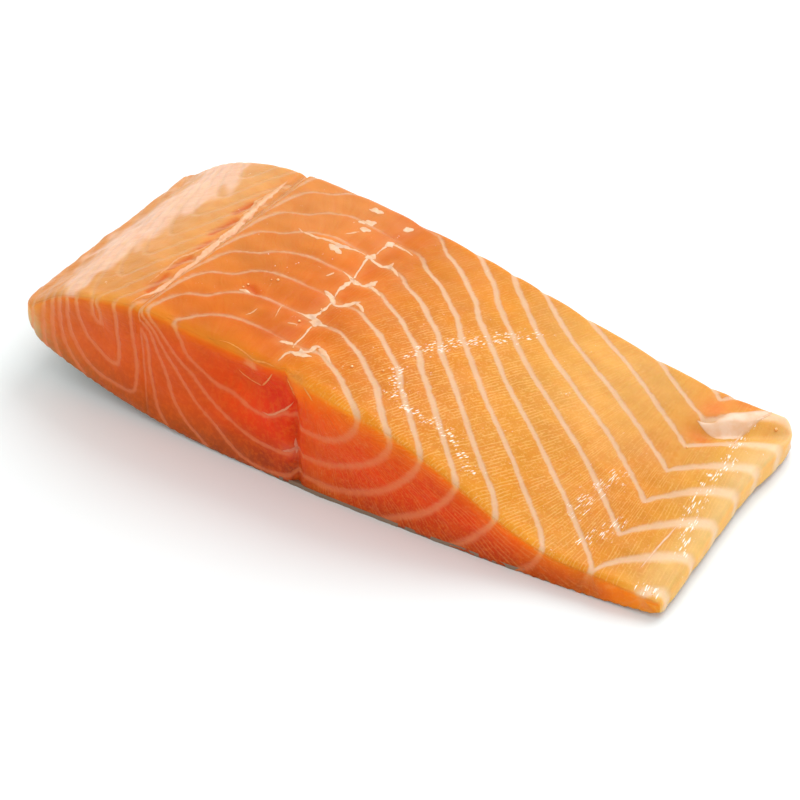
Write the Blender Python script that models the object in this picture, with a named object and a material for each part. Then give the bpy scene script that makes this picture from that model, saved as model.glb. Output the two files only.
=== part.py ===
"""Raw salmon fillet: a piece cut straight across one side of the fish.

It lies on its skin, the way it is sold. +X runs from the back of the fish to its belly, +Y along
the fish, and +Z up. Two solids are made: the flesh, and the skin under it.
"""
import bmesh
import bpy
import numpy as np
from mathutils import Matrix, Vector

# Every length below is in millimetres, and MM turns it into metres.
MM = 0.001

# The piece as a whole. Places across are counted from the back edge, and those along the fish
# from the front cut. The middle of the whole outline is at the origin.
WIDTH = 160.0
LENGTH = 66.0
CENTRE_ACROSS = 79.04
CENTRE_ALONG = 30.79

# Height of the top over the floor, as (across, height), at the front cut and at the rear one.
TOP_AT_FRONT = [(0, 19.8), (8, 25.4), (20, 29.6), (36, 32.6), (60, 31.0), (78, 29.6), (94, 25.9),
                (110, 19.4), (125, 11.2), (134, 7.9), (147, 6.4), (160, 4.7)]
TOP_AT_REAR = [(0, 18.2), (8, 23.8), (20, 28.2), (34, 29.6), (60, 28.0), (78, 24.8), (94, 20.6),
               (110, 16.0), (125, 12.0), (139, 9.0), (150, 7.6), (160, 6.8)]

# The underside is flat in the middle, and curls up to the back edge and a little to the belly.
BACK_CURL_WIDTH = 60.0
BACK_CURL_RISE = 9.6
BACK_CURL_POWER = 2.2
BELLY_CURL_WIDTH = 22.0
BELLY_CURL_RISE = 1.4

# The outline seen from above.
FRONT_BOW = 3.6
REAR_BOW = 1.0
BACK_EDGE_SWELL = 1.3
BACK_CORNER_SHARE = 0.08
NOSE_DEPTH = 2.6
NOSE_REACH = 9.0
BELLY_EDGE_SWELL = 2.0
BELLY_SWELL_MIDDLE = 0.87
BELLY_SWELL_HALF_WIDTH = 0.16
BELLY_CORNER_CUT = 1.6
BELLY_CORNER_SHARE = 0.06
BELLY_SWELL_REACH = 40.0
EDGE_NOTCH_DEPTH = 0.5

# The layers.
SKIN_THICKNESS = 1.0
GAP = 0.3

# The flakes lie between sheets of white tissue, one each FLAKE_PITCH along the fish. Across the
# fish the sheets fold into a W: (across, flakes that the sheets are set back there).
FLAKE_PITCH = 9.5
FLAKE_SWELL = 0.3
FLAKE_START = -2.0
SEAM_ACROSS = 33.0
SPINE_ACROSS = 66.0
FLAKE_FOLDS = [(0, -2.9), (10, -0.9), (21, 1.1), (25, 0.5), (32, -1.0), (34, -5.1), (40, -6.1),
               (50, -6.85), (78, -6.85), (87, -6.0), (103, -4.0), (122, -2.0), (144, -0.4),
               (151, -1.3), (162, -1.85)]

# Grooves and hollows: (depth, half width).
SEAM_GROOVE = (0.9, 1.3)
SPINE_GROOVE = (0.5, 3.0)
SEPTUM_NOTCH = (1.3, 1.3)
SEPTUM_ACROSS = 73.6
SEPTUM_TOP = 26.0
SEPTUM_FADE = 4.0

# The hollow left in the front cut by the upper muscle, and the rounded block beside it:
# (across, height, half width, half height, depth).
UPPER_HOLLOW = (61.0, 21.5, 9.5, 6.0, 2.2)
LOWER_BLOCK = (84.0, 21.0, 8.0, 6.5, -0.9)
CUT_RELIEF_REACH = 9.0

# The crease at the rear corner of the belly, and the lip behind it.
CREASE_START = (141.0, 47.0)
CREASE_END = (161.0, 61.0)
CREASE_DEPTH = 1.5
CREASE_HALF_WIDTH = 2.4
CREASE_FADE = 6.0
LIP_RISE = 0.7
LIP_OFFSET = 5.0

# How finely the two solids are divided.
FLESH_STEP_ACROSS = 2.5
FLESH_STEP_ALONG = 2.4
FLESH_STEPS_UP = 6
SKIN_STEP_ACROSS = 4.5
SKIN_STEP_ALONG = 5.0
GROOVE_CUTS = (-1.8, -0.7, 0.7, 1.8)
GROOVE_CLEARANCE = 2.2
SHARP_ANGLE = 40

FLESH_COLOUR = (0.82, 0.26, 0.06, 1.0)
FLESH_ROUGHNESS = 0.35
SKIN_COLOUR = (0.30, 0.31, 0.28, 1.0)
SKIN_ROUGHNESS = 0.40


def smooth_curve(points, at):
    """Read a smooth curve through (place, value) points, flat where it turns."""
    places, values = np.array(points, dtype=float).T
    widths = np.diff(places)
    rises = np.diff(values) / widths
    slopes = np.concatenate(([rises[0]], np.zeros(len(rises) - 1), [rises[-1]]))
    before, after = rises[:-1], rises[1:]
    blended = (before * widths[1:] + after * widths[:-1]) / (widths[1:] + widths[:-1])
    slopes[1:-1] = np.where(before * after > 0, blended, 0)
    at = np.clip(at, places[0], places[-1])
    cell = np.clip(np.searchsorted(places, at) - 1, 0, len(widths) - 1)
    share = (at - places[cell]) / widths[cell]
    start_value = (1 + 2 * share) * (1 - share) ** 2
    end_value = share ** 2 * (3 - 2 * share)
    start_slope = share * (1 - share) ** 2 * widths[cell]
    end_slope = share ** 2 * (share - 1) * widths[cell]
    return (start_value * values[cell] + end_value * values[cell + 1]
            + start_slope * slopes[cell] + end_slope * slopes[cell + 1])


def ease(share):
    """Ease from 0 to 1 as share does."""
    share = np.clip(share, 0, 1)
    return share * share * (3 - 2 * share)


def bump(distance, half_width):
    """A soft bump: 1 at distance 0, and nearly 0 two half widths away."""
    return np.exp(-(distance / half_width) ** 2)


def curl(across):
    """Height of the skin's lower side over the floor."""
    back = np.clip(1 - across / BACK_CURL_WIDTH, 0, 1) ** BACK_CURL_POWER
    belly = np.clip(1 - (WIDTH - across) / BELLY_CURL_WIDTH, 0, 1) ** 2
    return BACK_CURL_RISE * back + BELLY_CURL_RISE * belly


def flake_count(across, along):
    """Count the flakes: whole numbers are the white sheets of tissue between them."""
    return (along - FLAKE_START) / FLAKE_PITCH + smooth_curve(FLAKE_FOLDS, across)


def crease_relief(across, along):
    """The crease at the rear corner of the belly, with its lip."""
    start, end = np.array(CREASE_START), np.array(CREASE_END)
    direction = (end - start) / np.linalg.norm(end - start)
    from_start = np.stack([across - start[0], along - start[1]])
    run = from_start[0] * direction[0] + from_start[1] * direction[1]
    side = from_start[1] * direction[0] - from_start[0] * direction[1]
    reach = ease(run / CREASE_FADE)
    valley = -CREASE_DEPTH * bump(side, CREASE_HALF_WIDTH)
    lip = LIP_RISE * bump(side - LIP_OFFSET, CREASE_HALF_WIDTH)
    return reach * (valley + lip)


def top_height(across, along):
    """Height of the top, with its grooves, flakes and crease."""
    share = ease(along / LENGTH)
    plain = (smooth_curve(TOP_AT_FRONT, across) * (1 - share)
             + smooth_curve(TOP_AT_REAR, across) * share)
    swell = np.abs(np.sin(np.pi * flake_count(across, along))) - 0.5
    seam = SEAM_GROOVE[0] * bump(across - SEAM_ACROSS, SEAM_GROOVE[1])
    spine = SPINE_GROOVE[0] * bump(across - SPINE_ACROSS, SPINE_GROOVE[1])
    return plain + FLAKE_SWELL * swell - seam - spine + crease_relief(across, along)


def cut_relief(across, height):
    """How far the front cut is sunk in at a place on it."""
    notch = SEPTUM_NOTCH[0] * bump(across - SEPTUM_ACROSS, SEPTUM_NOTCH[1])
    sunk = notch * ease((SEPTUM_TOP - height) / SEPTUM_FADE)
    for middle, level, half_width, half_height, depth in (UPPER_HOLLOW, LOWER_BLOCK):
        sunk = sunk + depth * bump(across - middle, half_width) * bump(height - level, half_height)
    return sunk


def flesh_height(across, along, share):
    """Height in the flesh: share 0 is its underside and 1 its top."""
    base = curl(across) + SKIN_THICKNESS + GAP
    return base + share * (top_height(across, along) - base)


def skin_height(across, along, share):
    """Height in the skin: share 0 is its lower side and 1 its upper one."""
    return curl(across) + share * SKIN_THICKNESS


def outline(across, along_share, up_share):
    """Place on the floor plan of a point of the block.

    across runs 0 to WIDTH, along_share 0 at the front cut to 1 at the rear one, and up_share 0 at
    the underside to 1 at the top.
    """
    bow = 1 - (2 * across / WIDTH - 1) ** 2
    front = -FRONT_BOW * bow
    rear = LENGTH - REAR_BOW * bow
    along = front + along_share * (rear - front)
    at_back = np.clip(1 - across / NOSE_REACH, 0, 1) ** 2
    nose = NOSE_DEPTH * np.sqrt(np.clip(4 * up_share * (1 - up_share), 0, 1))
    swell_out = BACK_EDGE_SWELL * ease(along_share / BACK_CORNER_SHARE)
    at_belly = np.clip(1 - (WIDTH - across) / BELLY_SWELL_REACH, 0, 1) ** 2
    belly_out = BELLY_EDGE_SWELL * bump(along_share - BELLY_SWELL_MIDDLE, BELLY_SWELL_HALF_WIDTH)
    notches = np.clip(np.cos(2 * np.pi * flake_count(WIDTH, along)), 0, 1) ** 4
    corner = np.clip((along_share - 1) / BELLY_CORNER_SHARE + 1, 0, 1) ** 2
    belly_out = belly_out - EDGE_NOTCH_DEPTH * notches - BELLY_CORNER_CUT * corner
    moved = across - at_back * (nose + swell_out) + at_belly * belly_out
    return moved, along


def block(steps_across, steps_along, steps_up):
    """A unit block cut into cells at the given shares of its sides."""
    mesh = bmesh.new()
    bmesh.ops.create_cube(mesh, size=1, matrix=Matrix.Translation((0.5, 0.5, 0.5)))
    for axis, shares in enumerate((steps_across, steps_along, steps_up)):
        normal = Vector(1.0 if axis == side else 0.0 for side in range(3))
        for share in shares:
            cells = mesh.verts[:] + mesh.edges[:] + mesh.faces[:]
            bmesh.ops.bisect_plane(mesh, geom=cells, plane_co=normal * share, plane_no=normal)
    return mesh


def even_cuts(length, step):
    """Shares of an even division of length into steps of about step."""
    count = round(length / step)
    return [index / count for index in range(1, count)]


def with_groove_cuts(shares, middle):
    """Add the cuts that a groove across the fish needs, and drop those that they crowd."""
    fine = [(middle + offset) / WIDTH for offset in GROOVE_CUTS]
    kept = [share for share in shares if abs(share * WIDTH - middle) > GROOVE_CLEARANCE]
    return sorted(kept + fine)


def make_solid(name, mesh, height, material, sunk_front):
    """Carry a unit block to the fillet's form and make it an object.

    height is the function that gives the layer's height, and sunk_front says whether the front
    cut has its hollows.
    """
    shares = np.array([vertex.co[:] for vertex in mesh.verts])
    across = shares[:, 0] * WIDTH
    plan_across, plan_along = outline(across, shares[:, 1], shares[:, 2])
    heights = height(across, plan_along, shares[:, 2])
    if sunk_front:
        near_front = np.clip(1 - shares[:, 1] * LENGTH / CUT_RELIEF_REACH, 0, 1) ** 2
        plan_along = plan_along + near_front * cut_relief(across, heights)
    for vertex, *place in zip(mesh.verts, plan_across, plan_along, heights):
        vertex.co = Vector((place[0] - CENTRE_ACROSS, place[1] - CENTRE_ALONG, place[2])) * MM
    data = bpy.data.meshes.new(name)
    mesh.to_mesh(data)
    mesh.free()
    data.materials.append(material)
    data.shade_smooth()
    data.set_sharp_from_angle(angle=np.radians(SHARP_ANGLE))
    made = bpy.data.objects.new(name, data)
    bpy.context.scene.collection.objects.link(made)
    return made


def make_material(name, colour, roughness):
    """A plain food finish."""
    material = bpy.data.materials.new(name)
    material.use_nodes = True
    shader = material.node_tree.nodes["Principled BSDF"]
    shader.inputs["Base Color"].default_value = colour
    shader.inputs["Roughness"].default_value = roughness
    shader.inputs["Metallic"].default_value = 0.0
    return material


def make_flesh():
    """The flesh: one block of muscle, cut finely at the seam and at the septum."""
    across = even_cuts(WIDTH, FLESH_STEP_ACROSS)
    for groove in (SEAM_ACROSS, SEPTUM_ACROSS):
        across = with_groove_cuts(across, groove)
    along = even_cuts(LENGTH, FLESH_STEP_ALONG)
    up = even_cuts(FLESH_STEPS_UP, 1)
    material = make_material("flesh", FLESH_COLOUR, FLESH_ROUGHNESS)
    return make_solid("flesh", block(across, along, up), flesh_height, material, True)


def make_skin():
    """The skin: a thin sheet under the whole of the flesh, flat on the floor."""
    across = even_cuts(WIDTH, SKIN_STEP_ACROSS)
    along = even_cuts(LENGTH, SKIN_STEP_ALONG)
    material = make_material("skin", SKIN_COLOUR, SKIN_ROUGHNESS)
    return make_solid("skin", block(across, along, []), skin_height, material, False)


def main():
    """Empty the scene and build the fillet."""
    for old in list(bpy.data.objects):
        bpy.data.objects.remove(old, do_unlink=True)
    make_flesh()
    make_skin()


if __name__ == "__main__":
    main()
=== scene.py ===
"""Looks of the raw salmon fillet: its flesh, skin, white tissue and moisture, lit as in a studio.

Every length is in millimetres until a mesh is placed, where MM turns it into metres. Places across
the fish are counted from its back edge, and those along it from the front cut.
"""

import logging
from dataclasses import dataclass
from enum import Enum
from typing import Iterable, Sequence

import bpy
import numpy as np
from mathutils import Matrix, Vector
from mathutils.bvhtree import BVHTree


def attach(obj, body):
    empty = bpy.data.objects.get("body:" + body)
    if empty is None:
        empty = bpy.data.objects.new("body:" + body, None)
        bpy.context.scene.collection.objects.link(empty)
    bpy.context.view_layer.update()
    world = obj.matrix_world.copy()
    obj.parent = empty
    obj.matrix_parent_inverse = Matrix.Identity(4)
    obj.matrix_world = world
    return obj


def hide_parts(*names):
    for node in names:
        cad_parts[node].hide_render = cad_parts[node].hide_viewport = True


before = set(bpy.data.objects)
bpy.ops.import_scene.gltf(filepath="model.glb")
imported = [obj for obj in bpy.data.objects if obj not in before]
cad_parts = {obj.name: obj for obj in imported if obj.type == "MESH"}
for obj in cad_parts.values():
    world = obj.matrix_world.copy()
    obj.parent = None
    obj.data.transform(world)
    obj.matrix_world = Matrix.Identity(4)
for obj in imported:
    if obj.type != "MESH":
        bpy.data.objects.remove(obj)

LOG = logging.getLogger("fillet")
MM = 0.001
# How far in front of the object's origin the front cut lies, in metres.
CUT_EDGE = 0.032

Values = np.ndarray
Colour = tuple[float, float, float]
Piece = bpy.types.Object
Socket = bpy.types.NodeSocket


def smooth_curve(points: Sequence[tuple[float, float]], at: Values) -> Values:
    """Read a smooth curve through points, flat where it turns.

    Args:
        points: (place, value) pairs, in order of place.
        at: Places to read the curve at.

    Returns:
        The curve's values there.
    """
    places, values = np.array(points, dtype=float).T
    widths = np.diff(places)
    rises = np.diff(values) / widths
    slopes = np.concatenate(([rises[0]], np.zeros(len(rises) - 1), [rises[-1]]))
    before, after = rises[:-1], rises[1:]
    blended = (before * widths[1:] + after * widths[:-1]) / (widths[1:] + widths[:-1])
    slopes[1:-1] = np.where(before * after > 0, blended, 0)
    at = np.clip(at, places[0], places[-1])
    cell = np.clip(np.searchsorted(places, at) - 1, 0, len(widths) - 1)
    share = (at - places[cell]) / widths[cell]
    start_value = (1 + 2 * share) * (1 - share) ** 2
    end_value = share ** 2 * (3 - 2 * share)
    start_slope = share * (1 - share) ** 2 * widths[cell]
    end_slope = share ** 2 * (share - 1) * widths[cell]
    return (start_value * values[cell] + end_value * values[cell + 1]
            + start_slope * slopes[cell] + end_slope * slopes[cell + 1])


def ease(share: Values) -> Values:
    """Ease from 0 to 1 as share does."""
    share = np.clip(share, 0, 1)
    return share * share * (3 - 2 * share)


def bump(distance: Values, half_width: float) -> Values:
    """A soft bump: 1 at distance 0, and nearly 0 two half widths away."""
    return np.exp(-(distance / half_width) ** 2)


def band(across: Values, start: float, rise: float, end: float, fall: float) -> Values:
    """1 between two places across the fish, easing to 0 outside them.

    Args:
        across: The places to give it for.
        start, rise: Where it starts, and over what distance it grows to 1.
        end, fall: Where it has ended, and over what distance it falls to 0.

    Returns:
        The share at each place.
    """
    return ease((across - start) / rise) * ease((end - across) / fall)


def mix(first: Values, second: Values, share: Values) -> Values:
    """Go from first to second as share goes from 0 to 1."""
    return first + (second - first) * share


def ripple(places: Sequence[Values], wavelength: float, seed: int) -> Values:
    """A smooth uneven field, from -1 to 1, made of a few crossing waves.

    Args:
        places: Coordinates of the points, one array for each axis.
        wavelength: Typical distance between two crests.
        seed: Chooses the field.

    Returns:
        The field at each point.
    """
    draw = np.random.default_rng(seed)
    total = np.zeros_like(np.asarray(places[0], dtype=float))
    waves = 7
    for _ in range(waves):
        heading = draw.normal(size=len(places))
        heading /= np.linalg.norm(heading)
        turns = draw.uniform(0.6, 1.5) / wavelength
        phase = draw.uniform(0, 2 * np.pi)
        run = sum(part * side for part, side in zip(places, heading))
        total += np.sin(2 * np.pi * turns * run + phase)
    return total / waves ** 0.5 / 1.4


# Height of the top over the floor at the two cuts, as (across, height), as the solids have it.
TOP_AT_FRONT = ((0, 19.8), (8, 25.4), (20, 29.6), (36, 32.6), (60, 31.0), (78, 29.6), (94, 25.9),
                (110, 19.4), (125, 11.2), (134, 7.9), (147, 6.4), (160, 4.7))
TOP_AT_REAR = ((0, 18.2), (8, 23.8), (20, 28.2), (34, 29.6), (60, 28.0), (78, 24.8), (94, 20.6),
               (110, 16.0), (125, 12.0), (139, 9.0), (150, 7.6), (160, 6.8))


# Screen colours of the flesh between its sheets, by place across the top and across a cut. On
# the cut they are the flesh's own colour darkened and reddened with painted shade of the front cut.
FLESH_ON_TOP = ((0, (214, 142, 78)), (10, (218, 158, 104)), (28, (216, 148, 80)),
                (35, (212, 126, 50)), (52, (210, 116, 34)), (66, (206, 99, 8)),
                (76, (211, 119, 16)), (92, (212, 128, 22)), (112, (214, 142, 42)),
                (130, (214, 143, 42)), (142, (212, 134, 26)), (152, (214, 150, 48)),
                (160, (222, 186, 126)))
FLESH_AND_SHADE_ON_CUT = ((0, (228, 142, 60)), (8, (216, 98, 24)), (20, (212, 86, 18)), (33, (212, 82, 12)),
                (48, (214, 76, 6)), (60, (224, 62, 0)), (66, (224, 46, 0)), (73, (216, 52, 0)),
                (78, (226, 74, 0)), (88, (224, 58, 0)), (100, (222, 58, 2)), (125, (228, 58, 0)),
                (142, (234, 76, 0)), (149, (234, 104, 8)), (160, (236, 150, 34)))
# Screen colours at the crest of a cut, where light shines through: on the cut up to the steep
# part, beyond it, and on the top along the cut.
CREST_GLOW = (250, 144, 0)
CREST_LOW = (248, 134, 4)
CREST_ON_TOP = (255, 170, 48)
# Screen colours of the white sheets on the top, on a cut and at the crest between them. On the cut
# they are darkened with painted shade of the front cut, and at the crest brightened as painted glow
# of light shining through.
TISSUE_ON_TOP = (223, 181, 144)
TISSUE_AND_SHADE_ON_CUT = (228, 130, 84)
TISSUE_GLOW_AT_CREST = (246, 196, 112)
# The same where they widen towards the belly edge: paler there, and brightened further as painted
# light against the shade of the rolled edge.
TISSUE_AND_LIGHT_AT_BELLY = (238, 204, 168)
# Screen colour of the upright side at the belly edge, brightened as painted light against its
# shade.
BELLY_SIDE_LIT = (255, 188, 96)
# Screen colour of the flesh close to gathered white tissue.
GATHERED = (224, 136, 66)
# Screen colour that the rear cut tends to, which the light reaches, and how much it does.
LIT_CUT = (210, 102, 24)
LIT_SHARE = 0.85
# How the top's colour changes from the front cut to the rear one.
TOP_TINT = ((0.98, 0.90, 0.66), (1.0, 1.07, 1.15))
# How the top is darkened below a white sheet of the upper muscle, as painted shade at each flake's
# ledge, and how a cut's colour changes towards its foot.
LEDGE_SHADE_TINT = (0.92, 0.70, 0.45)
FOOT_TINT = (0.62, 0.95, 2.2)
# Places on the front cut with a tint, as (across, height, half width, half height, screen colour,
# share). The dark reds in the two hollows beside the notch are painted shade.
CUT_TINTS_AND_SHADE = ((-0.5, 15.0, 2.2, 6.0, (238, 196, 110), 0.8),
             (21.5, 26.5, 3.5, 3.5, (236, 116, 44), 0.5),
             (79.5, 27.5, 3.8, 2.8, (240, 98, 0), 0.9), (84.0, 23.0, 3.0, 2.0, (236, 80, 0), 0.6),
             # Painted shade in the hollows: the entry at (61.0, 21.5) on this line and at (69.5,
             # 23.5) below.
             (74.8, 28.0, 2.0, 3.4, (244, 118, 0), 0.8), (61.0, 21.5, 5.0, 5.0, (228, 72, 0), 0.6),
             (69.5, 23.5, 3.4, 4.0, (214, 26, 0), 0.8), (72.0, 4.6, 1.5, 1.4, (140, 54, 30), 0.6),
             (72.3, 9.4, 2.4, 1.8, (218, 112, 84), 0.5),
             (150.0, 4.0, 4.0, 6.0, (236, 120, 20), 0.7),
             (60.0, 4.0, 13.0, 6.5, (176, 74, 20), 0.6))
# Places on the top with a tint, as (across, along, half width, half length, screen colour, share).
TOP_TINTS = ((137.0, 37.0, 4.0, 7.0, (216, 122, 20), 0.6),
             (144.8, 48.8, 3.4, 2.8, (214, 96, 4), 0.95),
             (144.6, 58.0, 3.8, 5.0, (213, 96, 12), 0.95),
             (150.0, 63.6, 4.6, 2.8, (214, 108, 22), 0.85),
             (157.0, 60.0, 5.0, 9.0, (230, 160, 66), 0.7),
             (50.0, 17.0, 2.4, 2.0, (206, 84, 10), 0.7), (75.0, 2.5, 4.0, 3.0, (220, 124, 8), 0.6),
             (57.0, 36.0, 7.0, 16.0, (214, 112, 22), 0.5),
             (132.0, 6.0, 8.0, 6.0, (216, 142, 40), 0.4),
             (128.0, 52.0, 22.0, 24.0, (224, 168, 92), 0.5),
             (46.0, 58.0, 18.0, 18.0, (222, 148, 84), 0.45),
             (44.0, 3.0, 14.0, 9.0, (208, 98, 10), 0.5),
             (134.0, 26.0, 12.0, 14.0, (214, 126, 34), 0.4),
             (155.5, 8.0, 4.0, 10.0, (228, 182, 104), 0.5),
             (132.0, 38.0, 8.0, 9.0, (222, 158, 76), 0.4))
# Height of the step at the solid block beside the septum, and where its edge runs.
BLOCK_STEP = 0.9
BLOCK_EDGE = ((24.6, 74.2), (26.8, 73.0), (29.3, 71.3), (32.5, 69.7))
# Pale sheen on the back, as (along, middle across, half width).
SHEEN = ((-2, 12.6, 2.6), (6, 11.0, 4.6), (14, 9.0, 7.5), (28, 7.5, 10.0), (40, 7.5, 10.0),
         (50, 12.0, 9.5), (66, 10.5, 10.0))
SHEEN_COLOUR = (242, 204, 182)
SHEEN_SHARE = 0.72
# Rows where the moisture glints, as places (across, along) on the top, and their half width.
GLINT_ROWS = (((88.2, 20.3), (89.2, 25.0), (92.4, 30.4), (97.4, 39.5), (103.4, 51.0)),
              ((142.2, 15.9), (140.7, 9.6), (137.9, 5.9)),
              ((133.2, 12.5), (134.8, 21.0), (135.8, 27.2)),
              ((152.7, 61.5), (152.1, 55.9), (154.0, 42.9), (153.0, 32.4), (154.4, 24.6),
               (157.3, 14.6)),
              ((89.2, 14.4), (93.2, 5.8), (106.0, 7.0), (113.2, 2.8)),
              ((154.5, 1.4), (157.6, 2.0)))
GLINT_WIDTH = 2.0
# Cracks beside the seam, as the two ends (across, along) and the half width.
CRACKS = (((31.0, 4.0), (31.0, 11.0), 0.8), ((29.9, 13.4), (31.0, 20.0), 0.8),
          ((30.3, 24.0), (30.9, 27.4), 0.7), ((29.0, 30.8), (30.6, 38.4), 0.9),
          ((28.6, 41.2), (29.6, 46.6), 0.8), ((49.2, 17.6), (51.0, 16.6), 0.8))
CRACK_DEPTH = 0.45
# Painted shade in the cracks: their colour is the flesh darkened.
CRACK_SHADE_COLOUR = (204, 84, 6)


def from_line(across: Values, along: Values, line: Sequence[tuple[float, float]]) -> Values:
    """Distance of places from a line through some points.

    Args:
        across, along: The places.
        line: The line's points, in order.

    Returns:
        The distance of each place.
    """
    nearest = np.full(np.shape(across), 1e3)
    for (start_a, start_b), (end_a, end_b) in zip(line[:-1], line[1:]):
        run = (end_a - start_a, end_b - start_b)
        length = run[0] ** 2 + run[1] ** 2
        share = np.clip(((across - start_a) * run[0] + (along - start_b) * run[1]) / length, 0, 1)
        away = np.hypot(across - start_a - share * run[0], along - start_b - share * run[1])
        nearest = np.minimum(nearest, away)
    return nearest


@dataclass(frozen=True)
class FilletForm:
    """The fillet's form, with the sizes that the solids have.

    Attributes:
        width, length: Across the fish and along it, before the cuts bow and the edges swell.
        centre_across, centre_along: The place that stands over the frame's origin.
        back_curl: How the back edge rises off the floor, as (width, rise, power).
        belly_curl: The same at the belly edge, as (width, rise).
        front_bow, rear_bow: How far the front and the rear cut bow forward.
        back_swell, back_corner: How far the back edge stands out behind its front corner, and
            the share of the length over which it comes out.
        nose_depth, nose_reach: How far the back edge rounds out at half its height, and how
            far in from the edge that starts.
        belly_swell: Swell of the belly edge, as (distance, share along, half width as a share).
        belly_corner: Its rear corner, as (distance cut off, share of the length).
        belly_reach: How far in from the belly edge its swell and its corner are felt.
        edge_notch: Depth of the notches between two flakes in the belly edge.
        skin: Thickness of the skin.
        seam, spine: Grooves of the top, as (across, depth, half width).
        septum: Notch of the front cut, as (across, depth, half width).
        septum_top: The height where the notch ends, and over how much it fades below that.
        hollows: Hollows of the front cut, as (across, height, half width, half height, depth).
        cut_reach: How far behind the front cut its notch and its hollows are felt.
        crease_start, crease_end: Ends of the crease at the belly, as (across, along).
        crease: That crease, as (depth, half width, distance over which it starts).
        lip: The lip beside the crease, as (rise, distance from it).
    """

    width: float = 160.0
    length: float = 66.0
    centre_across: float = 79.04
    centre_along: float = 30.79
    back_curl: tuple = (60.0, 9.6, 2.2)
    belly_curl: tuple = (22.0, 1.4)
    front_bow: float = 3.6
    rear_bow: float = 1.0
    back_swell: float = 1.3
    back_corner: float = 0.08
    nose_depth: float = 2.6
    nose_reach: float = 9.0
    belly_swell: tuple = (2.0, 0.87, 0.16)
    belly_corner: tuple = (1.6, 0.06)
    belly_reach: float = 40.0
    edge_notch: float = 0.2
    skin: float = 1.0
    seam: tuple = (33.0, 0.9, 1.0)
    spine: tuple = (66.0, 0.5, 3.0)
    septum: tuple = (73.6, 1.3, 1.1)
    septum_top: tuple = (26.0, 4.0)
    hollows: tuple = ((61.0, 21.5, 9.5, 6.0, 2.2), (69.0, 23.0, 3.6, 4.5, 1.0),
                      (84.0, 21.0, 8.0, 6.5, -0.9))
    cut_reach: float = 9.0
    crease_start: tuple = (141.0, 47.0)
    crease_end: tuple = (161.0, 61.0)
    crease: tuple = (1.5, 2.4, 6.0)
    lip: tuple = (0.7, 5.0)

    def curl(self, across: Values) -> Values:
        """Height of the skin's lower side over the floor."""
        width, rise, power = self.back_curl
        back = np.clip(1 - across / width, 0, 1) ** power
        belly_width, belly_rise = self.belly_curl
        belly = np.clip(1 - (self.width - across) / belly_width, 0, 1) ** 2
        return rise * back + belly_rise * belly

    def plain_top(self, across: Values, along: Values) -> Values:
        """Height of the top without its grooves and flakes."""
        share = ease(along / self.length)
        return mix(smooth_curve(TOP_AT_FRONT, across), smooth_curve(TOP_AT_REAR, across), share)

    def crease_relief(self, across: Values, along: Values) -> Values:
        """The crease at the rear corner of the belly, with its lip.

        Args:
            across, along: Places on the top.

        Returns:
            How far the top stands up there, less than 0 in the crease.
        """
        start, end = np.array(self.crease_start), np.array(self.crease_end)
        heading = (end - start) / np.linalg.norm(end - start)
        from_start = (across - start[0], along - start[1])
        run = from_start[0] * heading[0] + from_start[1] * heading[1]
        side = from_start[1] * heading[0] - from_start[0] * heading[1]
        depth, half_width, fade = self.crease
        rise, offset = self.lip
        return ease(run / fade) * (rise * bump(side - offset, half_width)
                                   - depth * bump(side, half_width))

    def cut_relief(self, across: Values, height: Values) -> Values:
        """The notch and the hollows of the front cut.

        Args:
            across, height: Places on the cut.

        Returns:
            How far the cut is sunk in there.
        """
        place, depth, half_width = self.septum
        level, fade = self.septum_top
        sunk = depth * bump(across - place, half_width) * ease((level - height) / fade)
        for middle, height_there, half_wide, half_high, deep in self.hollows:
            sunk = sunk + deep * bump(across - middle, half_wide) * bump(height - height_there,
                                                                         half_high)
        return sunk

    def outline(self, across: Values, along_share: Values, up_share: Values,
                edge_flakes: Values) -> tuple[Values, Values]:
        """Place on the floor plan of a point of the block.

        Args:
            across: 0 at the back edge to the width at the belly edge.
            along_share: 0 at the front cut to 1 at the rear one.
            up_share: 0 at the underside to 1 at the top.
            edge_flakes: Flakes counted along the belly edge, at this point's place along it.

        Returns:
            Places across and along.
        """
        bow = 1 - (2 * across / self.width - 1) ** 2
        front = -self.front_bow * bow
        rear = self.length - self.rear_bow * bow
        along = mix(front, rear, along_share)
        at_back = np.clip(1 - across / self.nose_reach, 0, 1) ** 2
        nose = self.nose_depth * np.sqrt(np.clip(4 * up_share * (1 - up_share), 0, 1))
        out_back = nose + self.back_swell * ease(along_share / self.back_corner)
        at_belly = np.clip(1 - (self.width - across) / self.belly_reach, 0, 1) ** 2
        swell, middle, half_width = self.belly_swell
        cut, corner_share = self.belly_corner
        notches = np.clip(np.cos(2 * np.pi * edge_flakes), 0, 1) ** 4
        corner = np.clip((along_share - 1) / corner_share + 1, 0, 1) ** 2
        out_belly = (swell * bump(along_share - middle, half_width)
                     - self.edge_notch * notches - cut * corner)
        return across - at_back * out_back + at_belly * out_belly, along

    def place(self, across: Values, along: Values, height: Values) -> Values:
        """Turn places on the fillet into points of the shared frame, in metres."""
        return np.stack([across - self.centre_across, along - self.centre_along, height],
                        axis=-1) * MM


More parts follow.
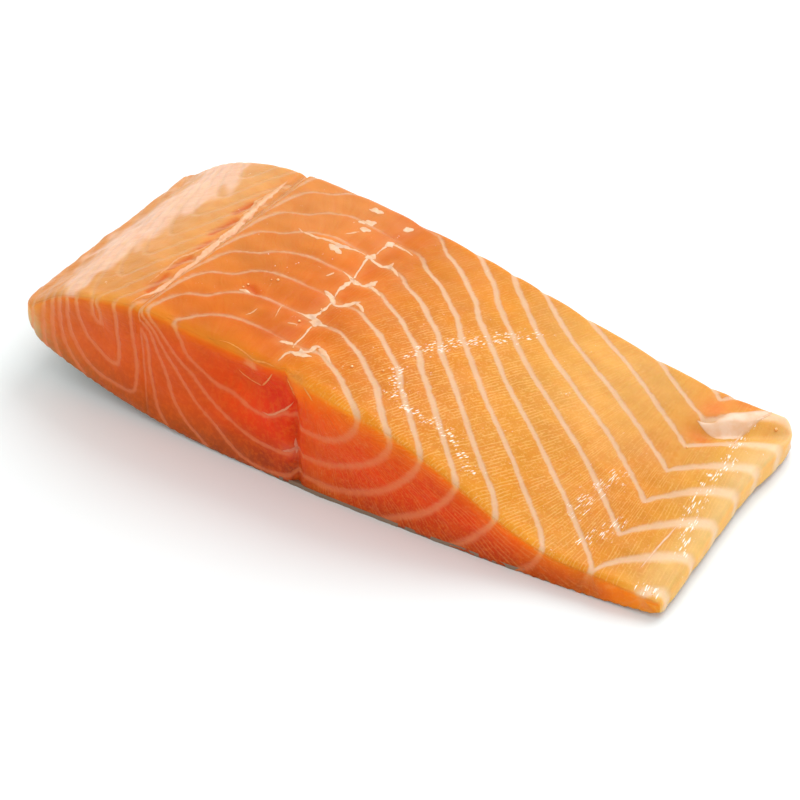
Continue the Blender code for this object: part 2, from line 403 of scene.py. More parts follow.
class TracedField:
    """A smooth field through values given along traces on the cut (a thin-plate surface).

    Attributes:
        slack: How far the field may pass beside a value. At 0 it goes through all of them.
        knots: The places that have a value.
        weights: How much each of them counts, then the even slope of the field.
    """

    slack = 6.0

    def __init__(self, traces: Iterable[tuple[float, Sequence[tuple[float, float]]]]) -> None:
        """Fit the field.

        Args:
            traces: (value, points) pairs, each point as (across, height) on the front cut.
        """
        spots = [(across, height, value) for value, points in traces
                 for across, height in points]
        self.knots = np.array([spot[:2] for spot in spots])
        total = len(spots)
        system = np.zeros((total + 3, total + 3))
        system[:total, :total] = self._pull(self.knots) + self.slack * np.eye(total)
        plane = np.column_stack([np.ones(total), self.knots])
        system[:total, total:] = plane
        system[total:, :total] = plane.T
        wanted = np.concatenate([[spot[2] for spot in spots], np.zeros(3)])
        self.weights = np.linalg.solve(system, wanted)

    def _pull(self, points: Values) -> Values:
        """How strongly each knot acts on each point."""
        square = np.sum((points[:, None, :] - self.knots[None, :, :]) ** 2, axis=2)
        return 0.5 * square * np.log(np.maximum(square, 1e-9))

    def at(self, across: Values, height: Values) -> Values:
        """Read the field at places on the cut."""
        points = np.column_stack([across, height])
        parts = [self._pull(some) @ self.weights[:-3]
                 for some in np.array_split(points, max(1, len(points) // 8000))]
        plane = self.weights[-3] + points @ self.weights[-2:]
        return np.concatenate(parts) + plane


def along_top(stops: Sequence[tuple[float, float]]) -> list[tuple[float, list]]:
    """Traces that give a field its values along the top edge of the cut."""
    return [(value, [(across, float(smooth_curve(TOP_AT_FRONT, np.array(across))))])
            for across, value in stops]


@dataclass(frozen=True)
class Flakes:
    """The sheets of white tissue that part the flakes of muscle.

    A flake's count is a smooth field through the whole piece, and a sheet lies at each whole
    number. On the front cut the count is a field through traces of the sheets, as
    (across, height) in three muscles, and it grows steadily along the fish.

    Attributes:
        start: Place along the fish that the count starts from.
        seam, spine, belly: Places across where one muscle ends and the next starts.
        back_pitch, upper_pitch: Distance between sheets along the fish.
        lower_pitch: The same in the lower muscle, by the count on the cut.
        belly_fall: How far the count falls from the belly fold to the edge, over belly_width.
        belly_lag: How far the count lags near the belly, as (along, flakes).
        lag_start: Where that starts across the fish, and over what distance it grows.
        back_cut, upper_cut, lower_cut: Traces of the sheets on the cut, by count.
        upper_top, lower_top: The count along the cut's top edge, as (across, count).
    """

    start: float = -2.5
    seam: float = 33.0
    spine: float = 73.0
    belly: float = 144.0
    back_pitch: float = 9.6
    upper_pitch: tuple = ((33, 10.6), (50, 9.9), (72, 9.3))
    lower_pitch: tuple = ((-7, 8.7), (-5.6, 8.5), (-3.3, 9.1), (-1.9, 10.0), (-0.2, 10.5))
    belly_fall: float = 1.25
    belly_width: float = 18.0
    back_cut: tuple = (
        (-1, ((15.0, 27.4), (15.1, 23.6), (16.2, 20.4), (17.7, 18.0), (19.5, 16.3), (22.3, 14.6),
              (25.1, 13.3), (25.4, 29.9), (25.5, 23.1), (25.4, 17.0))),
        (-2, ((12.1, 25.6), (11.4, 20.3), (12.4, 15.9), (14.1, 13.3), (16.2, 10.5), (18.7, 9.0),
              (22.5, 8.1), (25.9, 7.4), (29.7, 7.7), (30.7, 32.1), (30.3, 25.1), (30.5, 18.3),
              (30.2, 12.5))),
        (-3, ((9.5, 24.5), (9.1, 18.7), (9.7, 13.9), (11.1, 11.1), (13.0, 9.1))),
        (-4, ((7.3, 23.8), (6.5, 17.7), (6.7, 13.5), (7.3, 10.0))),
        (-5, ((4.8, 22.0), (4.0, 16.6), (3.9, 12.2))),
        (-2.5, ((33.0, 32.0), (33.0, 20.0), (33.0, 8.0))),
        (-0.05, ((20.5, 29.0), (21.0, 22.0))))
    upper_cut: tuple = (
        (-2, ((33.8, 26.6), (34.4, 17.1), (35.2, 10.4), (35.9, 6.5), (37.4, 3.4))),
        (-3, ((35.9, 27.5), (37.5, 21.3), (39.4, 16.5), (40.6, 11.4), (43.0, 6.8), (47.8, 2.6))),
        (-4, ((38.0, 25.9), (41.6, 20.3), (44.8, 15.6), (47.6, 12.3), (52.3, 8.1), (55.6, 5.3),
              (59.3, 2.6))),
        (-5, ((36.5, 30.0), (39.6, 27.0), (42.6, 23.6), (46.5, 20.0), (50.1, 15.9), (55.3, 12.3),
              (60.5, 9.8), (65.0, 8.9), (71.0, 8.8), (76.0, 10.4))),
        (-6, ((43.4, 31.6), (44.8, 28.5), (45.6, 24.7), (48.4, 22.4), (52.2, 19.3), (56.9, 18.0),
              (60.3, 16.4), (63.4, 15.9), (67.4, 17.0), (71.5, 20.0), (76.0, 19.8))),
        (-6.85, ((57.0, 27.5), (58.7, 25.0), (61.2, 22.8), (64.3, 22.0), (67.0, 23.0))),
        (-4, ((76.0, 4.5),)))
    lower_cut: tuple = (
        (-6, ((88.9, 26.3), (87.9, 24.3), (86.1, 22.2), (82.8, 20.1), (79.8, 18.8),
              (77.3, 19.2))),
        (-5, ((96.6, 21.7), (94.6, 18.6), (91.4, 15.5), (87.7, 13.0), (83.9, 11.3),
              (79.5, 10.3), (76.2, 10.2), (72.3, 9.9))),
        (-4, ((102.9, 18.2), (101.1, 15.3), (98.7, 12.6), (95.5, 9.7), (92.5, 7.6),
              (87.5, 5.3), (83.7, 4.4), (79.9, 4.2), (75.8, 4.6))),
        (-3, ((112.0, 16.8), (110.7, 13.5), (108.3, 10.3), (106.0, 7.8), (102.4, 5.4),
              (98.7, 3.2), (95.0, 1.2))),
        (-2, ((119.4, 8.5), (116.0, 4.0), (112.5, 1.2))),
        (-1, ((130.6, 4.0), (128.0, 1.2))),
        (0, ((143.9, 6.0), (142.3, 2.5))))
    upper_top: tuple = ((36, -5.45), (40, -5.95), (45, -6.45), (50, -6.80), (58, -6.95),
                        (66, -6.97), (76, -6.9))
    lower_top: tuple = ((72, -7.2), (76, -6.95), (80, -6.74), (86, -6.2), (92, -5.46), (98, -4.75),
                        (105, -3.9), (113, -3.0), (122, -2.02), (133, -0.98), (144, 0))
    belly_lag: tuple = ((-4, 0.0), (1, 0.25), (12, 0.39), (23, 0.49), (34, 0.55), (43, 0.44),
                        (52, 0.30), (62, 0.14))
    lag_start: tuple = (104.0, 34.0)

    def fields(self) -> tuple[TracedField, TracedField, TracedField]:
        """The count on the front cut, in the back, upper and lower muscle."""
        return (TracedField(self.back_cut),
                TracedField([*self.upper_cut, *along_top(self.upper_top)]),
                TracedField([*self.lower_cut, *along_top(self.lower_top)]))

    def count(self, fields: tuple, across: Values, along: Values, depth: Values) -> Values:
        """Count the flakes at points of the flesh.

        Args:
            fields: The count on the front cut, in each muscle.
            across: Places across the fish.
            along: Places along it.
            depth: How far each point lies under the top.

        Returns:
            The count, whole on a sheet of tissue.
        """
        run = along - self.start
        level = smooth_curve(TOP_AT_FRONT, across) - depth
        back = fields[0].at(across, level) + run / self.back_pitch
        upper = fields[1].at(across, level) + run / smooth_curve(self.upper_pitch, across)
        ridge = np.minimum(across, self.belly)
        lower = fields[2].at(ridge, smooth_curve(TOP_AT_FRONT, ridge) - depth)
        past_belly = np.clip((across - self.belly) / self.belly_width, 0, 1)
        fall = self.belly_fall * (1 - (1 - past_belly) ** 1.8)
        lower = lower + run / smooth_curve(self.lower_pitch, lower) - fall
        begin, width = self.lag_start
        lower = lower - smooth_curve(self.belly_lag, along) * ease((across - begin) / width)
        at_seam = ease((across - self.seam) / 0.6 + 0.5)
        at_spine = ease((across - self.spine) / 5.0 + 0.5)
        return mix(back, mix(upper, lower, at_spine), at_seam)


class Side(Enum):
    """The sides of the block that are treated apart."""

    TOP = "top"
    UNDER = "under"
    BELLY = "belly"


def unit_block(name: str, cells: tuple[int, int, int]) -> Piece:
    """Make a closed block of quads in the unit cube.

    Args:
        name: Name of the piece.
        cells: How many cells it has across, along and up.

    Returns:
        The block, with its vertices from 0 to 1 on each axis.
    """
    bpy.ops.object.select_all(action='DESELECT')
    bpy.ops.mesh.primitive_grid_add(x_subdivisions=cells[0], y_subdivisions=cells[1], size=1)
    piece = bpy.context.object
    piece.name = piece.data.name = name
    bpy.ops.object.mode_set(mode='EDIT')
    bpy.ops.mesh.select_all(action='SELECT')
    bpy.ops.mesh.extrude_region_move(TRANSFORM_OT_translate={"value": (0, 0, 1)})
    bpy.ops.mesh.select_all(action='SELECT')
    bpy.ops.mesh.normals_make_consistent(inside=False)
    bpy.ops.mesh.select_mode(type='EDGE')
    bpy.ops.mesh.select_all(action='DESELECT')
    bpy.ops.object.mode_set(mode='OBJECT')
    heights = points_of(piece)[:, 2]
    ends = np.empty(len(piece.data.edges) * 2, dtype=np.int32)
    piece.data.edges.foreach_get("vertices", ends)
    upright = np.abs(np.diff(heights[ends.reshape(-1, 2)], axis=1)[:, 0]) > 0.5
    piece.data.edges.foreach_set("select", upright)
    if cells[2] > 1:
        bpy.ops.object.mode_set(mode='EDIT')
        bpy.ops.mesh.subdivide(number_cuts=cells[2] - 1)
        bpy.ops.mesh.select_mode(type='VERT')
        bpy.ops.object.mode_set(mode='OBJECT')
    place_points(piece, points_of(piece) + np.array([0.5, 0.5, 0]))
    return piece


def points_of(piece: Piece) -> Values:
    """Read a piece's vertices as rows of three numbers."""
    flat = np.empty(len(piece.data.vertices) * 3, dtype=np.float32)
    piece.data.vertices.foreach_get("co", flat)
    return flat.reshape(-1, 3).astype(float)


def place_points(piece: Piece, points: Values) -> None:
    """Move a piece's vertices to these points."""
    piece.data.vertices.foreach_set("co", points.astype(np.float32).ravel())
    piece.data.update()


def normals_of(piece: Piece) -> Values:
    """Read the directions that a piece's vertices face."""
    flat = np.empty(len(piece.data.vertices) * 3, dtype=np.float32)
    piece.data.vertex_normals.foreach_get("vector", flat)
    return flat.reshape(-1, 3).astype(float)


def store(piece: Piece, name: str, values: Values) -> None:
    """Keep a number or a colour at each vertex, where a material can read it."""
    if values.ndim == 1:
        layer = piece.data.attributes.new(name, 'FLOAT', 'POINT')
        layer.data.foreach_set("value", values.astype(np.float32))
        return
    layer = piece.data.attributes.new(name, 'FLOAT_COLOR', 'POINT')
    padded = np.concatenate([values, np.ones((len(values), 1))], axis=1)
    layer.data.foreach_set("color", padded.astype(np.float32).ravel())


def jump_share(piece: Piece, values: Values, limit: float) -> Values:
    """1 at vertices where a value changes slowly, 0 where it jumps from one to the next.

    Args:
        piece: The piece whose edges are followed.
        values: The value at each vertex.
        limit: Change per millimetre that counts as a jump.

    Returns:
        The share at each vertex.
    """
    ends = np.empty(len(piece.data.edges) * 2, dtype=np.int32)
    piece.data.edges.foreach_get("vertices", ends)
    first, second = ends.reshape(-1, 2).T
    points = points_of(piece) / MM
    length = np.linalg.norm(points[first] - points[second], axis=1)
    change = np.abs(values[first] - values[second]) / np.maximum(length, 0.1)
    worst = np.zeros(len(values))
    np.maximum.at(worst, first, change)
    np.maximum.at(worst, second, change)
    return np.where(worst > limit, 0.0, 1.0)


def smooth_shaded(piece: Piece) -> None:
    """Shade a piece as one smooth surface."""
    bpy.ops.object.select_all(action='DESELECT')
    piece.select_set(True)
    bpy.context.view_layer.objects.active = piece
    bpy.ops.object.shade_smooth()


def join_all(name: str, pieces: Sequence[Piece]) -> Piece:
    """Join pieces into one of this name, with smooth faces."""
    bpy.ops.object.select_all(action='DESELECT')
    for piece in pieces:
        piece.select_set(True)
    bpy.context.view_layer.objects.active = pieces[0]
    if len(pieces) > 1:
        bpy.ops.object.join()
    joined = bpy.context.view_layer.objects.active
    joined.name = joined.data.name = name
    smooth_shaded(joined)
    return joined


def linear(colour: Sequence[float]) -> Values:
    """Turn a colour from screen values, 0 to 255, into linear light."""
    share = np.asarray(colour, dtype=float) / 255
    return np.where(share <= 0.04045, share / 12.92, ((share + 0.055) / 1.055) ** 2.4)


def colour_curve(stops: Sequence[tuple[float, Colour]], at: Values) -> Values:
    """Read colours between stops.

    Args:
        stops: (place, screen colour) pairs, in order of place.
        at: Places to read.

    Returns:
        Linear colours, one row for each place.
    """
    places = [place for place, _ in stops]
    colours = np.array([linear(colour) for _, colour in stops])
    return np.stack([np.interp(at, places, colours[:, part]) for part in range(3)], axis=-1)


def stretch(share: Values, strength: float) -> Values:
    """Space cells closer together at both ends of a block."""
    return share - strength * np.sin(2 * np.pi * share) / (2 * np.pi)


@dataclass
class Spots:
    """Where the vertices of the flesh lie, in millimetres.

    Attributes:
        across, along, height: Their places in the fillet.
        up_share: 0 at the underside to 1 at the top.
        sides: For each side that is treated apart, which vertices lie on it.
        upward: 1 where the surface faces up, 0 where it is upright.
    """

    across: Values
    along: Values
    height: Values
    up_share: Values
    sides: dict
    upward: Values | None = None


@dataclass(frozen=True)
class Flesh:
    """The muscle, in one piece, with the white tissue that shows on it.

    Attributes:
        form, flakes, fields: Its form, its sheets, and their count on the cut.
        cells: Cells of its mesh across, along and up.
        crest: Radius of the upper edges, as (across, radius).
        swell: How far a flake bulges between two sheets.
        ledge: How far each flake of the upper muscle stands over the next.
        sink: How far the tissue is sunk.
        uneven: Unevenness of the surface, as (wavelength, height).
        fibre_lean: How the fibres of the lower muscle lean, as (across, lean).
        lap: How far the lower front edge comes down over the skin, as (across, distance).
        belly_lap: The same at the belly edge.
        probe: Distance over which the flake count's change is measured.
        sheet_on_top, sheet_on_cut: Half width of the white sheets, as (across, half width).
        sheet_low: How much wider they are where the lower muscle's cut meets them at a slant.
        soft_on_top: How soft their edges are on the top, as (across, softness).
        soft_on_cut: The same on a cut, and how much softer where they are met at a slant.
        pale_on_top, pale_on_cut: How much of their colour shows, as (across, share).
        pale_at_crest: How much more shows at a cut's crest, and the depth over which it fades.
        swell_share: How much of the swell there is, as (across, share).
        ticks_on_top: How clear the light ticks of the top are, as (across, share).
        ticks_at_rear: What is left of them towards the rear cut.
        ticks_on_cut: How clear they are on the lower muscle's cut.
        glow_on_cut: How strong the light at a cut's crest is, as (across, share).
        fans: Where the fibres of a cut turn round, in the back, the upper and the lower muscle,
            as (across, height, distance from there at which a fibre has its own width).
        arcs: Where the lower muscle's cut meets the sheets at a slant, as for a band.
        ledges: Where the upper muscle has its ledges, as for a band.
        shaded: Where its flakes are darker below a sheet, as for a band.
        lower: The lower muscle's cut, as for a band.
        block: The solid block beside the notch, which has no sheets, as for a band.
        upright: Upward part of the normal below which a face starts to count as a cut, and how
            much less makes it all cut.
    """

    form: FilletForm
    flakes: Flakes
    fields: tuple
    cells: tuple = (264, 120, 38)
    crest: tuple = ((0, 2.4), (12, 2.0), (33, 1.8), (46, 2.4), (62, 3.0), (80, 2.8), (100, 2.0),
                    (125, 1.8), (145, 1.8), (160, 1.7))
    swell: float = 0.26
    ledge: float = 0.42
    sink: float = 0.10
    uneven: tuple = ((16.0, 0.16), (6.0, 0.10), (2.6, 0.05))
    fibre_lean: tuple = ((72, -0.39), (122, -0.39), (150, 0.08), (160, 0.08))
    lap: tuple = ((0, 0.6), (70, 0.6), (78, 0.6), (100, 0.75), (125, 0.85), (160, 0.9))
    belly_lap: float = 0.8
    probe: float = 0.25
    sheet_on_top: tuple = ((0, 0.25), (33, 0.25), (36, 0.36), (60, 0.36), (72, 0.40), (80, 0.58),
                           (120, 0.60), (138, 0.52), (144, 0.46), (150, 0.95), (160, 1.70))
    sheet_on_cut: tuple = ((0, 0.38), (22, 0.34), (33, 0.24), (60, 0.26), (75, 0.34), (85, 0.42),
                           (120, 0.45), (150, 0.50), (160, 0.8))
    sheet_low: float = 0.10
    soft_on_top: tuple = ((0, 0.7), (30, 0.5), (36, 0.45), (60, 0.4), (76, 0.16), (140, 0.16),
                          (150, 0.35), (158, 0.7))
    soft_on_cut: tuple = (0.38, 0.32)
    pale_on_top: tuple = ((0, 0.1), (20, 0.16), (30, 0.26), (36, 0.55), (50, 0.55), (58, 0.35),
                          (63, 0.10), (68, 0.12), (73, 0.65), (84, 0.85), (144, 0.85), (151, 0.8),
                          (160, 0.75))
    pale_on_cut: tuple = ((0, 0.55), (33, 0.55), (60, 0.50), (80, 0.46), (130, 0.45), (144, 0.0),
                          (160, 0.2))
    pale_at_crest: tuple = (0.35, 2.5)
    swell_share: tuple = ((0, 0.2), (33, 0.4), (72, 0.8), (90, 1), (146, 1), (156, 0.25),
                          (160, 0.1))
    ticks_on_top: tuple = ((0, 0.0), (33, 0.05), (70, 0.2), (85, 0.9), (130, 1.0), (145, 0.8),
                           (160, 0.6))
    ticks_at_rear: float = 0.45
    ticks_on_cut: float = 0.30
    glow_on_cut: tuple = ((0, 0.85), (74, 0.85), (80, 0.5), (86, 0.9), (142, 0.9), (160, 0.5))
    fans: tuple = ((33.5, 30, 16), (62, 30, 13), (79.5, 28.3, 30))
    arcs: tuple = (76, 5, 142, 12)
    ledges: tuple = (34, 4, 70, 6)
    shaded: tuple = (34, 4, 66, 8)
    lower: tuple = (76, 4, 146, 6)
    block: tuple = (68, 3, 86, 5)
    upright: tuple = (0.80, 0.5)

    def build(self) -> Piece:
        """Make the flesh, with its relief and the values that its material reads."""
        piece = unit_block("flesh_muscle", self.cells)
        spots = self._spots(points_of(piece))
        place_points(piece, self.form.place(spots.across, spots.along, spots.height))
        facing = normals_of(piece)
        spots.upward = facing[:, 2]
        count = self._count(spots.across, spots.along, spots.height)
        slope = self._slope(spots, facing)
        half_width = self._tissue(spots)
        relief = self._relief(spots, count, slope, half_width)
        place_points(piece, points_of(piece) + facing * relief[:, None] * MM)
        smooth_shaded(piece)
        self._paint(piece, spots, count, slope, half_width)
        return piece

    def _spots(self, unit: Values) -> Spots:
        """Carry the unit block to the fillet's form.

        Args:
            unit: The block's vertices, from 0 to 1 on each axis.

        Returns:
            Where they lie in the fillet.
        """
        form = self.form
        sides = {Side.TOP: unit[:, 2] > 0.999, Side.UNDER: unit[:, 2] < 0.001,
                 Side.BELLY: unit[:, 0] > 0.999}
        across = stretch(unit[:, 0], 0.2) * form.width
        along = stretch(unit[:, 1], 0.35) * form.length
        thickness = form.plain_top(across, along) - form.curl(across) - form.skin
        depth = (1 - stretch(unit[:, 2], 0.35)) * thickness
        across, along, depth = self._rounded(across, along, depth)
        along_share = along / form.length
        up_share = 1 - depth / thickness
        edge = np.full_like(along, form.width)
        edge_flakes = self.flakes.count(self.fields, edge, along, 0 * along)
        across, along = form.outline(across, along_share, up_share, edge_flakes)
        under = form.curl(across) + form.skin
        height = mix(under, form.plain_top(across, along), up_share)
        height = height + self._grooves(across, along) * up_share ** 4
        ragged = 1 + 0.3 * ripple((across,), 3.0, 61)
        lap = smooth_curve(self.lap, across) * ragged * np.clip(1 - along_share / 0.02, 0, 1)
        lap = np.maximum(lap, self.belly_lap * np.clip(1 - (form.width - across) / 2, 0, 1))
        height = height - lap * np.clip(1 - up_share / 0.1, 0, 1) ** 2
        from_cut = np.clip(1 - along_share * form.length / form.cut_reach, 0, 1) ** 2
        sunk = form.cut_relief(across, height) + self._block_step(across, height)
        along = along + sunk * from_cut
        return Spots(across, along, height, up_share, sides)

    def _rounded(self, across: Values, along: Values, depth: Values) -> tuple:
        """Round the block's upper and upright edges.

        Args:
            across, along, depth: The block's vertices, with their depth below the top.

        Returns:
            The same three, rounded.
        """
        form = self.form
        radius = smooth_curve(self.crest, across)
        inner = np.stack([np.clip(across, radius, form.width - radius),
                          np.clip(along, radius, form.length - radius),
                          np.maximum(depth, radius)], axis=-1)
        out = np.stack([across, along, depth], axis=-1) - inner
        reach = np.linalg.norm(out, axis=1)
        scale = np.where(reach > radius, radius / np.maximum(reach, 1e-6), 1)
        return tuple((inner + out * scale[:, None]).T)

    def _block_step(self, across: Values, height: Values) -> Values:
        """How far the pit beside the solid block is sunk, up to the block's edge."""
        edge = smooth_curve(BLOCK_EDGE, height)
        left = ease((edge - across) / 0.9 + 0.5) * bump(np.minimum(across - edge, 0), 6.0)
        return BLOCK_STEP * left * bump(height - 28, 5.0)

    def _grooves(self, across: Values, along: Values) -> Values:
        """Height that the seam, the spine groove, the cracks and the belly crease give the top."""
        grooves = self.form.crease_relief(across, along)
        for first, last, half_width in CRACKS:
            away = from_line(across, along, (first, last))
            grooves = grooves - CRACK_DEPTH * bump(away, half_width)
        for place, depth, half_width in (self.form.seam, self.form.spine):
            grooves = grooves - depth * bump(across - place, half_width)
        return grooves

    def _count(self, across: Values, along: Values, height: Values) -> Values:
        """Count the flakes at places in the flesh."""
        depth = self.form.plain_top(across, along) - height
        return self.flakes.count(self.fields, across, along, depth)

    def _slope(self, spots: Spots, facing: Values) -> Values:
        """How the flake count changes along the surface, per millimetre on each axis."""
        places = (spots.across, spots.along, spots.height)
        parts = []
        for axis in range(3):
            ahead = [place + self.probe * (axis == part) for part, place in enumerate(places)]
            behind = [place - self.probe * (axis == part) for part, place in enumerate(places)]
            parts.append((self._count(*ahead) - self._count(*behind)) / (2 * self.probe))
        slope = np.stack(parts, axis=-1)
        return slope - facing * np.sum(slope * facing, axis=1)[:, None]

    def _tissue(self, spots: Spots) -> Values:
        """Half the width of the white sheets where they show."""
        across, along = spots.across, spots.along
        on_cut = smooth_curve(self.sheet_on_cut, across) + self.sheet_low * self._low_arc(spots)
        half_width = mix(smooth_curve(self.sheet_on_top, across), on_cut, self._cut_share(spots))
        uneven = 1 + 0.18 * ripple((across, along, spots.height), 7.0, 11)
        seam_gap = 1 - bump(across - self.form.seam[0], 0.9)
        return half_width * uneven * seam_gap

    def _low_arc(self, spots: Spots) -> Values:
        """1 on the lower part of the lower muscle's cut, where the sheets are cut at a slant."""
        depth = self.form.plain_top(spots.across, spots.along) - spots.height
        return band(spots.across, *self.arcs) * ease((depth - 2.5) / 5)

    def _softness(self, spots: Spots, cut: Values) -> Values:
        """How soft the edges of the white sheets are."""
        on_cut, more = self.soft_on_cut
        on_top = smooth_curve(self.soft_on_top, spots.across)
        return mix(on_top, on_cut + more * self._low_arc(spots), cut)

    def _cut_share(self, spots: Spots) -> Values:
        """1 on the two cuts, 0 on the top."""
        return self._upright_share(spots) * ~spots.sides[Side.BELLY]

    def _upright_share(self, spots: Spots) -> Values:
        """1 on upright faces, 0 on those that look up."""
        most, fall = self.upright
        return ease((most - spots.upward) / fall)

    def _relief(self, spots: Spots, count: Values, slope: Values, half_width: Values) -> Values:
        """Swell of the flakes, sunk tissue, ledges and unevenness.

        Args:
            spots: Where the vertices lie.
            count, slope: The flake count there, and how it changes along the surface.
            half_width: Half the width of the white sheets.

        Returns:
            How far the surface stands out from the plain form.
        """
        steepness = np.linalg.norm(slope, axis=1)
        from_sheet = np.abs(count - np.round(count)) / np.maximum(steepness, 0.02)
        bulge = np.abs(np.sin(np.pi * count)) - 0.5
        spread_out = np.clip(steepness / 0.08, 0, 1)
        swell = self.swell * smooth_curve(self.swell_share, spots.across)
        at_rear = ease((spots.along - 56) / 9)
        relief = swell * bulge * spread_out
        relief -= self.sink * bump(from_sheet, 1.3 * np.maximum(half_width, 0.2))
        ledge = (count - np.floor(count)) - 0.5
        relief += self.ledge * band(spots.across, *self.ledges) * spots.sides[Side.TOP] * ledge
        for number, (wavelength, height) in enumerate(self.uneven):
            waves = ripple((spots.across, spots.along, spots.height), wavelength, number)
            relief += height * (1 - 0.7 * at_rear) * waves
        hidden = spots.sides[Side.UNDER]
        return np.where(hidden, 0, relief * ease(spots.up_share / 0.06))

    def _weave(self, spots: Spots, count: Values, slope: Values) -> Values:
        """Distance along the sheets, the same all the way across one flake.

        Args:
            spots: Where the vertices lie.
            count, slope: The flake count there, and how it changes along the surface.

        Returns:
            The distance of each vertex.
        """
        steepness = np.maximum(np.sum(slope * slope, axis=1), 2e-3)
        step = ((count - np.floor(count) - 0.5) / steepness)[:, None] * slope
        step *= np.minimum(1, 7 / np.maximum(np.linalg.norm(step, axis=1), 1e-6))[:, None]
        across, along = spots.across - step[:, 0], spots.along - step[:, 1]
        height = spots.height - step[:, 2]
        back = 0.9 * along - 0.4 * across
        lean = smooth_curve(self.fibre_lean, spots.across)
        lower = 0.92 * spots.across + lean * spots.along
        in_back = across < self.flakes.seam
        on_top = np.where(in_back, back, np.where(across < 72, across, lower))
        round_back, round_upper, round_lower = [
            radius * np.arctan2(height - level, across - place)
            for place, level, radius in self.fans]
        on_cut = np.where(in_back, round_back,
                          np.where(across < self.flakes.spine, round_upper, round_lower))
        return np.where(self._cut_share(spots) > 0.5, on_cut, on_top)

    def _paint(self, piece: Piece, spots: Spots, count: Values, slope: Values,
               half_width: Values) -> None:
        """Keep on the mesh the values that the flesh's material reads.

        Args:
            piece: The flesh.
            spots: Where its vertices lie.
            count, slope: The flake count there, and how it changes along the surface.
            half_width: Half the width of the white sheets.
        """
        across, along, height = spots.across, spots.along, spots.height
        steepness = np.maximum(np.linalg.norm(slope, axis=1), 0.02)
        cut = self._cut_share(spots)
        store(piece, "flake", count)
        store(piece, "spread", 1 / steepness)
        store(piece, "tissue", half_width)
        weave = self._weave(spots, count, slope)
        store(piece, "weave", weave)
        whole = jump_share(piece, weave, 5.0) * jump_share(piece, count, 0.6)
        store(piece, "grain", whole)
        store(piece, "cut", cut)
        depth = self.form.plain_top(across, along) - height
        from_front = along + self.form.front_bow * (1 - (2 * across / self.form.width - 1) ** 2)
        on_top = self._top_colour(spots, count, from_front)
        on_cut = self._cut_colour(spots, count, depth)
        colour = mix(on_top, on_cut, cut[:, None])
        uneven = 0.06 * ripple((across, along, height), 14, 21) + 0.04 * ripple(
            (across, along, height), 5, 22)
        store(piece, "meat", np.clip(colour * (1 + uneven[:, None]), 0, 1))
        pale_top = smooth_curve(self.pale_on_top, across)
        more, fade = self.pale_at_crest
        pale_cut = smooth_curve(self.pale_on_cut, across)
        pale_cut = np.clip(pale_cut + more * np.exp(-np.maximum(depth, 0) / fade), 0, 0.95)
        at_block = bump(count + 7, 0.6) * band(across, *self.block)
        store(piece, "pale", mix(pale_top, pale_cut, cut) * (1 - at_block))
        # Sheets on a cut carry painted shade, and at the crest painted glow.
        crest = np.exp(-np.maximum(depth, 0) / 1.6)[:, None]
        on_cut = mix(linear(TISSUE_AND_SHADE_ON_CUT), linear(TISSUE_GLOW_AT_CREST), crest)
        # Sheets towards the belly edge: paler, partly as painted light.
        at_belly = ease((across - 148) / 8)[:, None]
        on_top = mix(linear(TISSUE_ON_TOP), linear(TISSUE_AND_LIGHT_AT_BELLY), at_belly)
        store(piece, "vein", mix(on_top, on_cut, cut[:, None]))
        store(piece, "soft", self._softness(spots, cut))
        ticks = smooth_curve(self.ticks_on_top, across)
        ticks = ticks * mix(1.0, self.ticks_at_rear, ease((along - 30) / 25))
        store(piece, "ticks", mix(ticks, self.ticks_on_cut * ease((across - 76) / 6), cut))
        glint = sum(bump(from_line(across, along, row), GLINT_WIDTH) for row in GLINT_ROWS)
        store(piece, "glint", np.clip(glint, 0, 1) * (1 - cut) - cut)

    def _top_colour(self, spots: Spots, count: Values, from_front: Values) -> Values:
        """Colour of the top between the sheets.

        Args:
            spots: Where the vertices lie.
            count: The flake count there.
            from_front: How far behind the front cut they are.

        Returns:
            The linear colour of each vertex.
        """
        across, along = spots.across, spots.along
        colour = colour_curve(FLESH_ON_TOP, across)
        front, rear = np.array(TOP_TINT[0]), np.array(TOP_TINT[1])
        colour = colour * mix(front, rear, ease(along / self.form.length)[:, None])
        glow = np.exp(-np.maximum(from_front, 0) / 2.2) * ease((across - 8) / 16)
        glow = glow * mix(0.7, 0.35, ease((across - 84) / 14))
        colour = mix(colour, linear(CREST_ON_TOP), glow[:, None])
        # Painted shade below each white sheet of the upper muscle, at the ledge of the flake there.
        ledge_shade = np.exp(-(np.ceil(count) - count) * self.flakes.back_pitch / 1.3)
        ledge_shade = ledge_shade * band(across, *self.shaded)
        colour = colour * mix(np.ones(3), np.array(LEDGE_SHADE_TINT), ledge_shade[:, None])
        places = [place for place, _, _ in SHEEN]
        middle = np.interp(along, places, [where for _, where, _ in SHEEN])
        half_width = np.interp(along, places, [width for _, _, width in SHEEN])
        stray = (0.32 * ripple((across, along), 11.0, 71)
                 + 0.14 * ripple((across, 0.5 * along), 3.6, 72))
        edge_width = np.where(across < middle, 0.7, 0.4)
        sheen = ease((1 + stray - np.abs(across - middle) / half_width) / edge_width)
        streaks = 0.82 + 0.06 * ripple((across, 0.2 * along), 3.0, 73)
        colour = mix(colour, linear(SHEEN_COLOUR), (SHEEN_SHARE * sheen * streaks)[:, None])
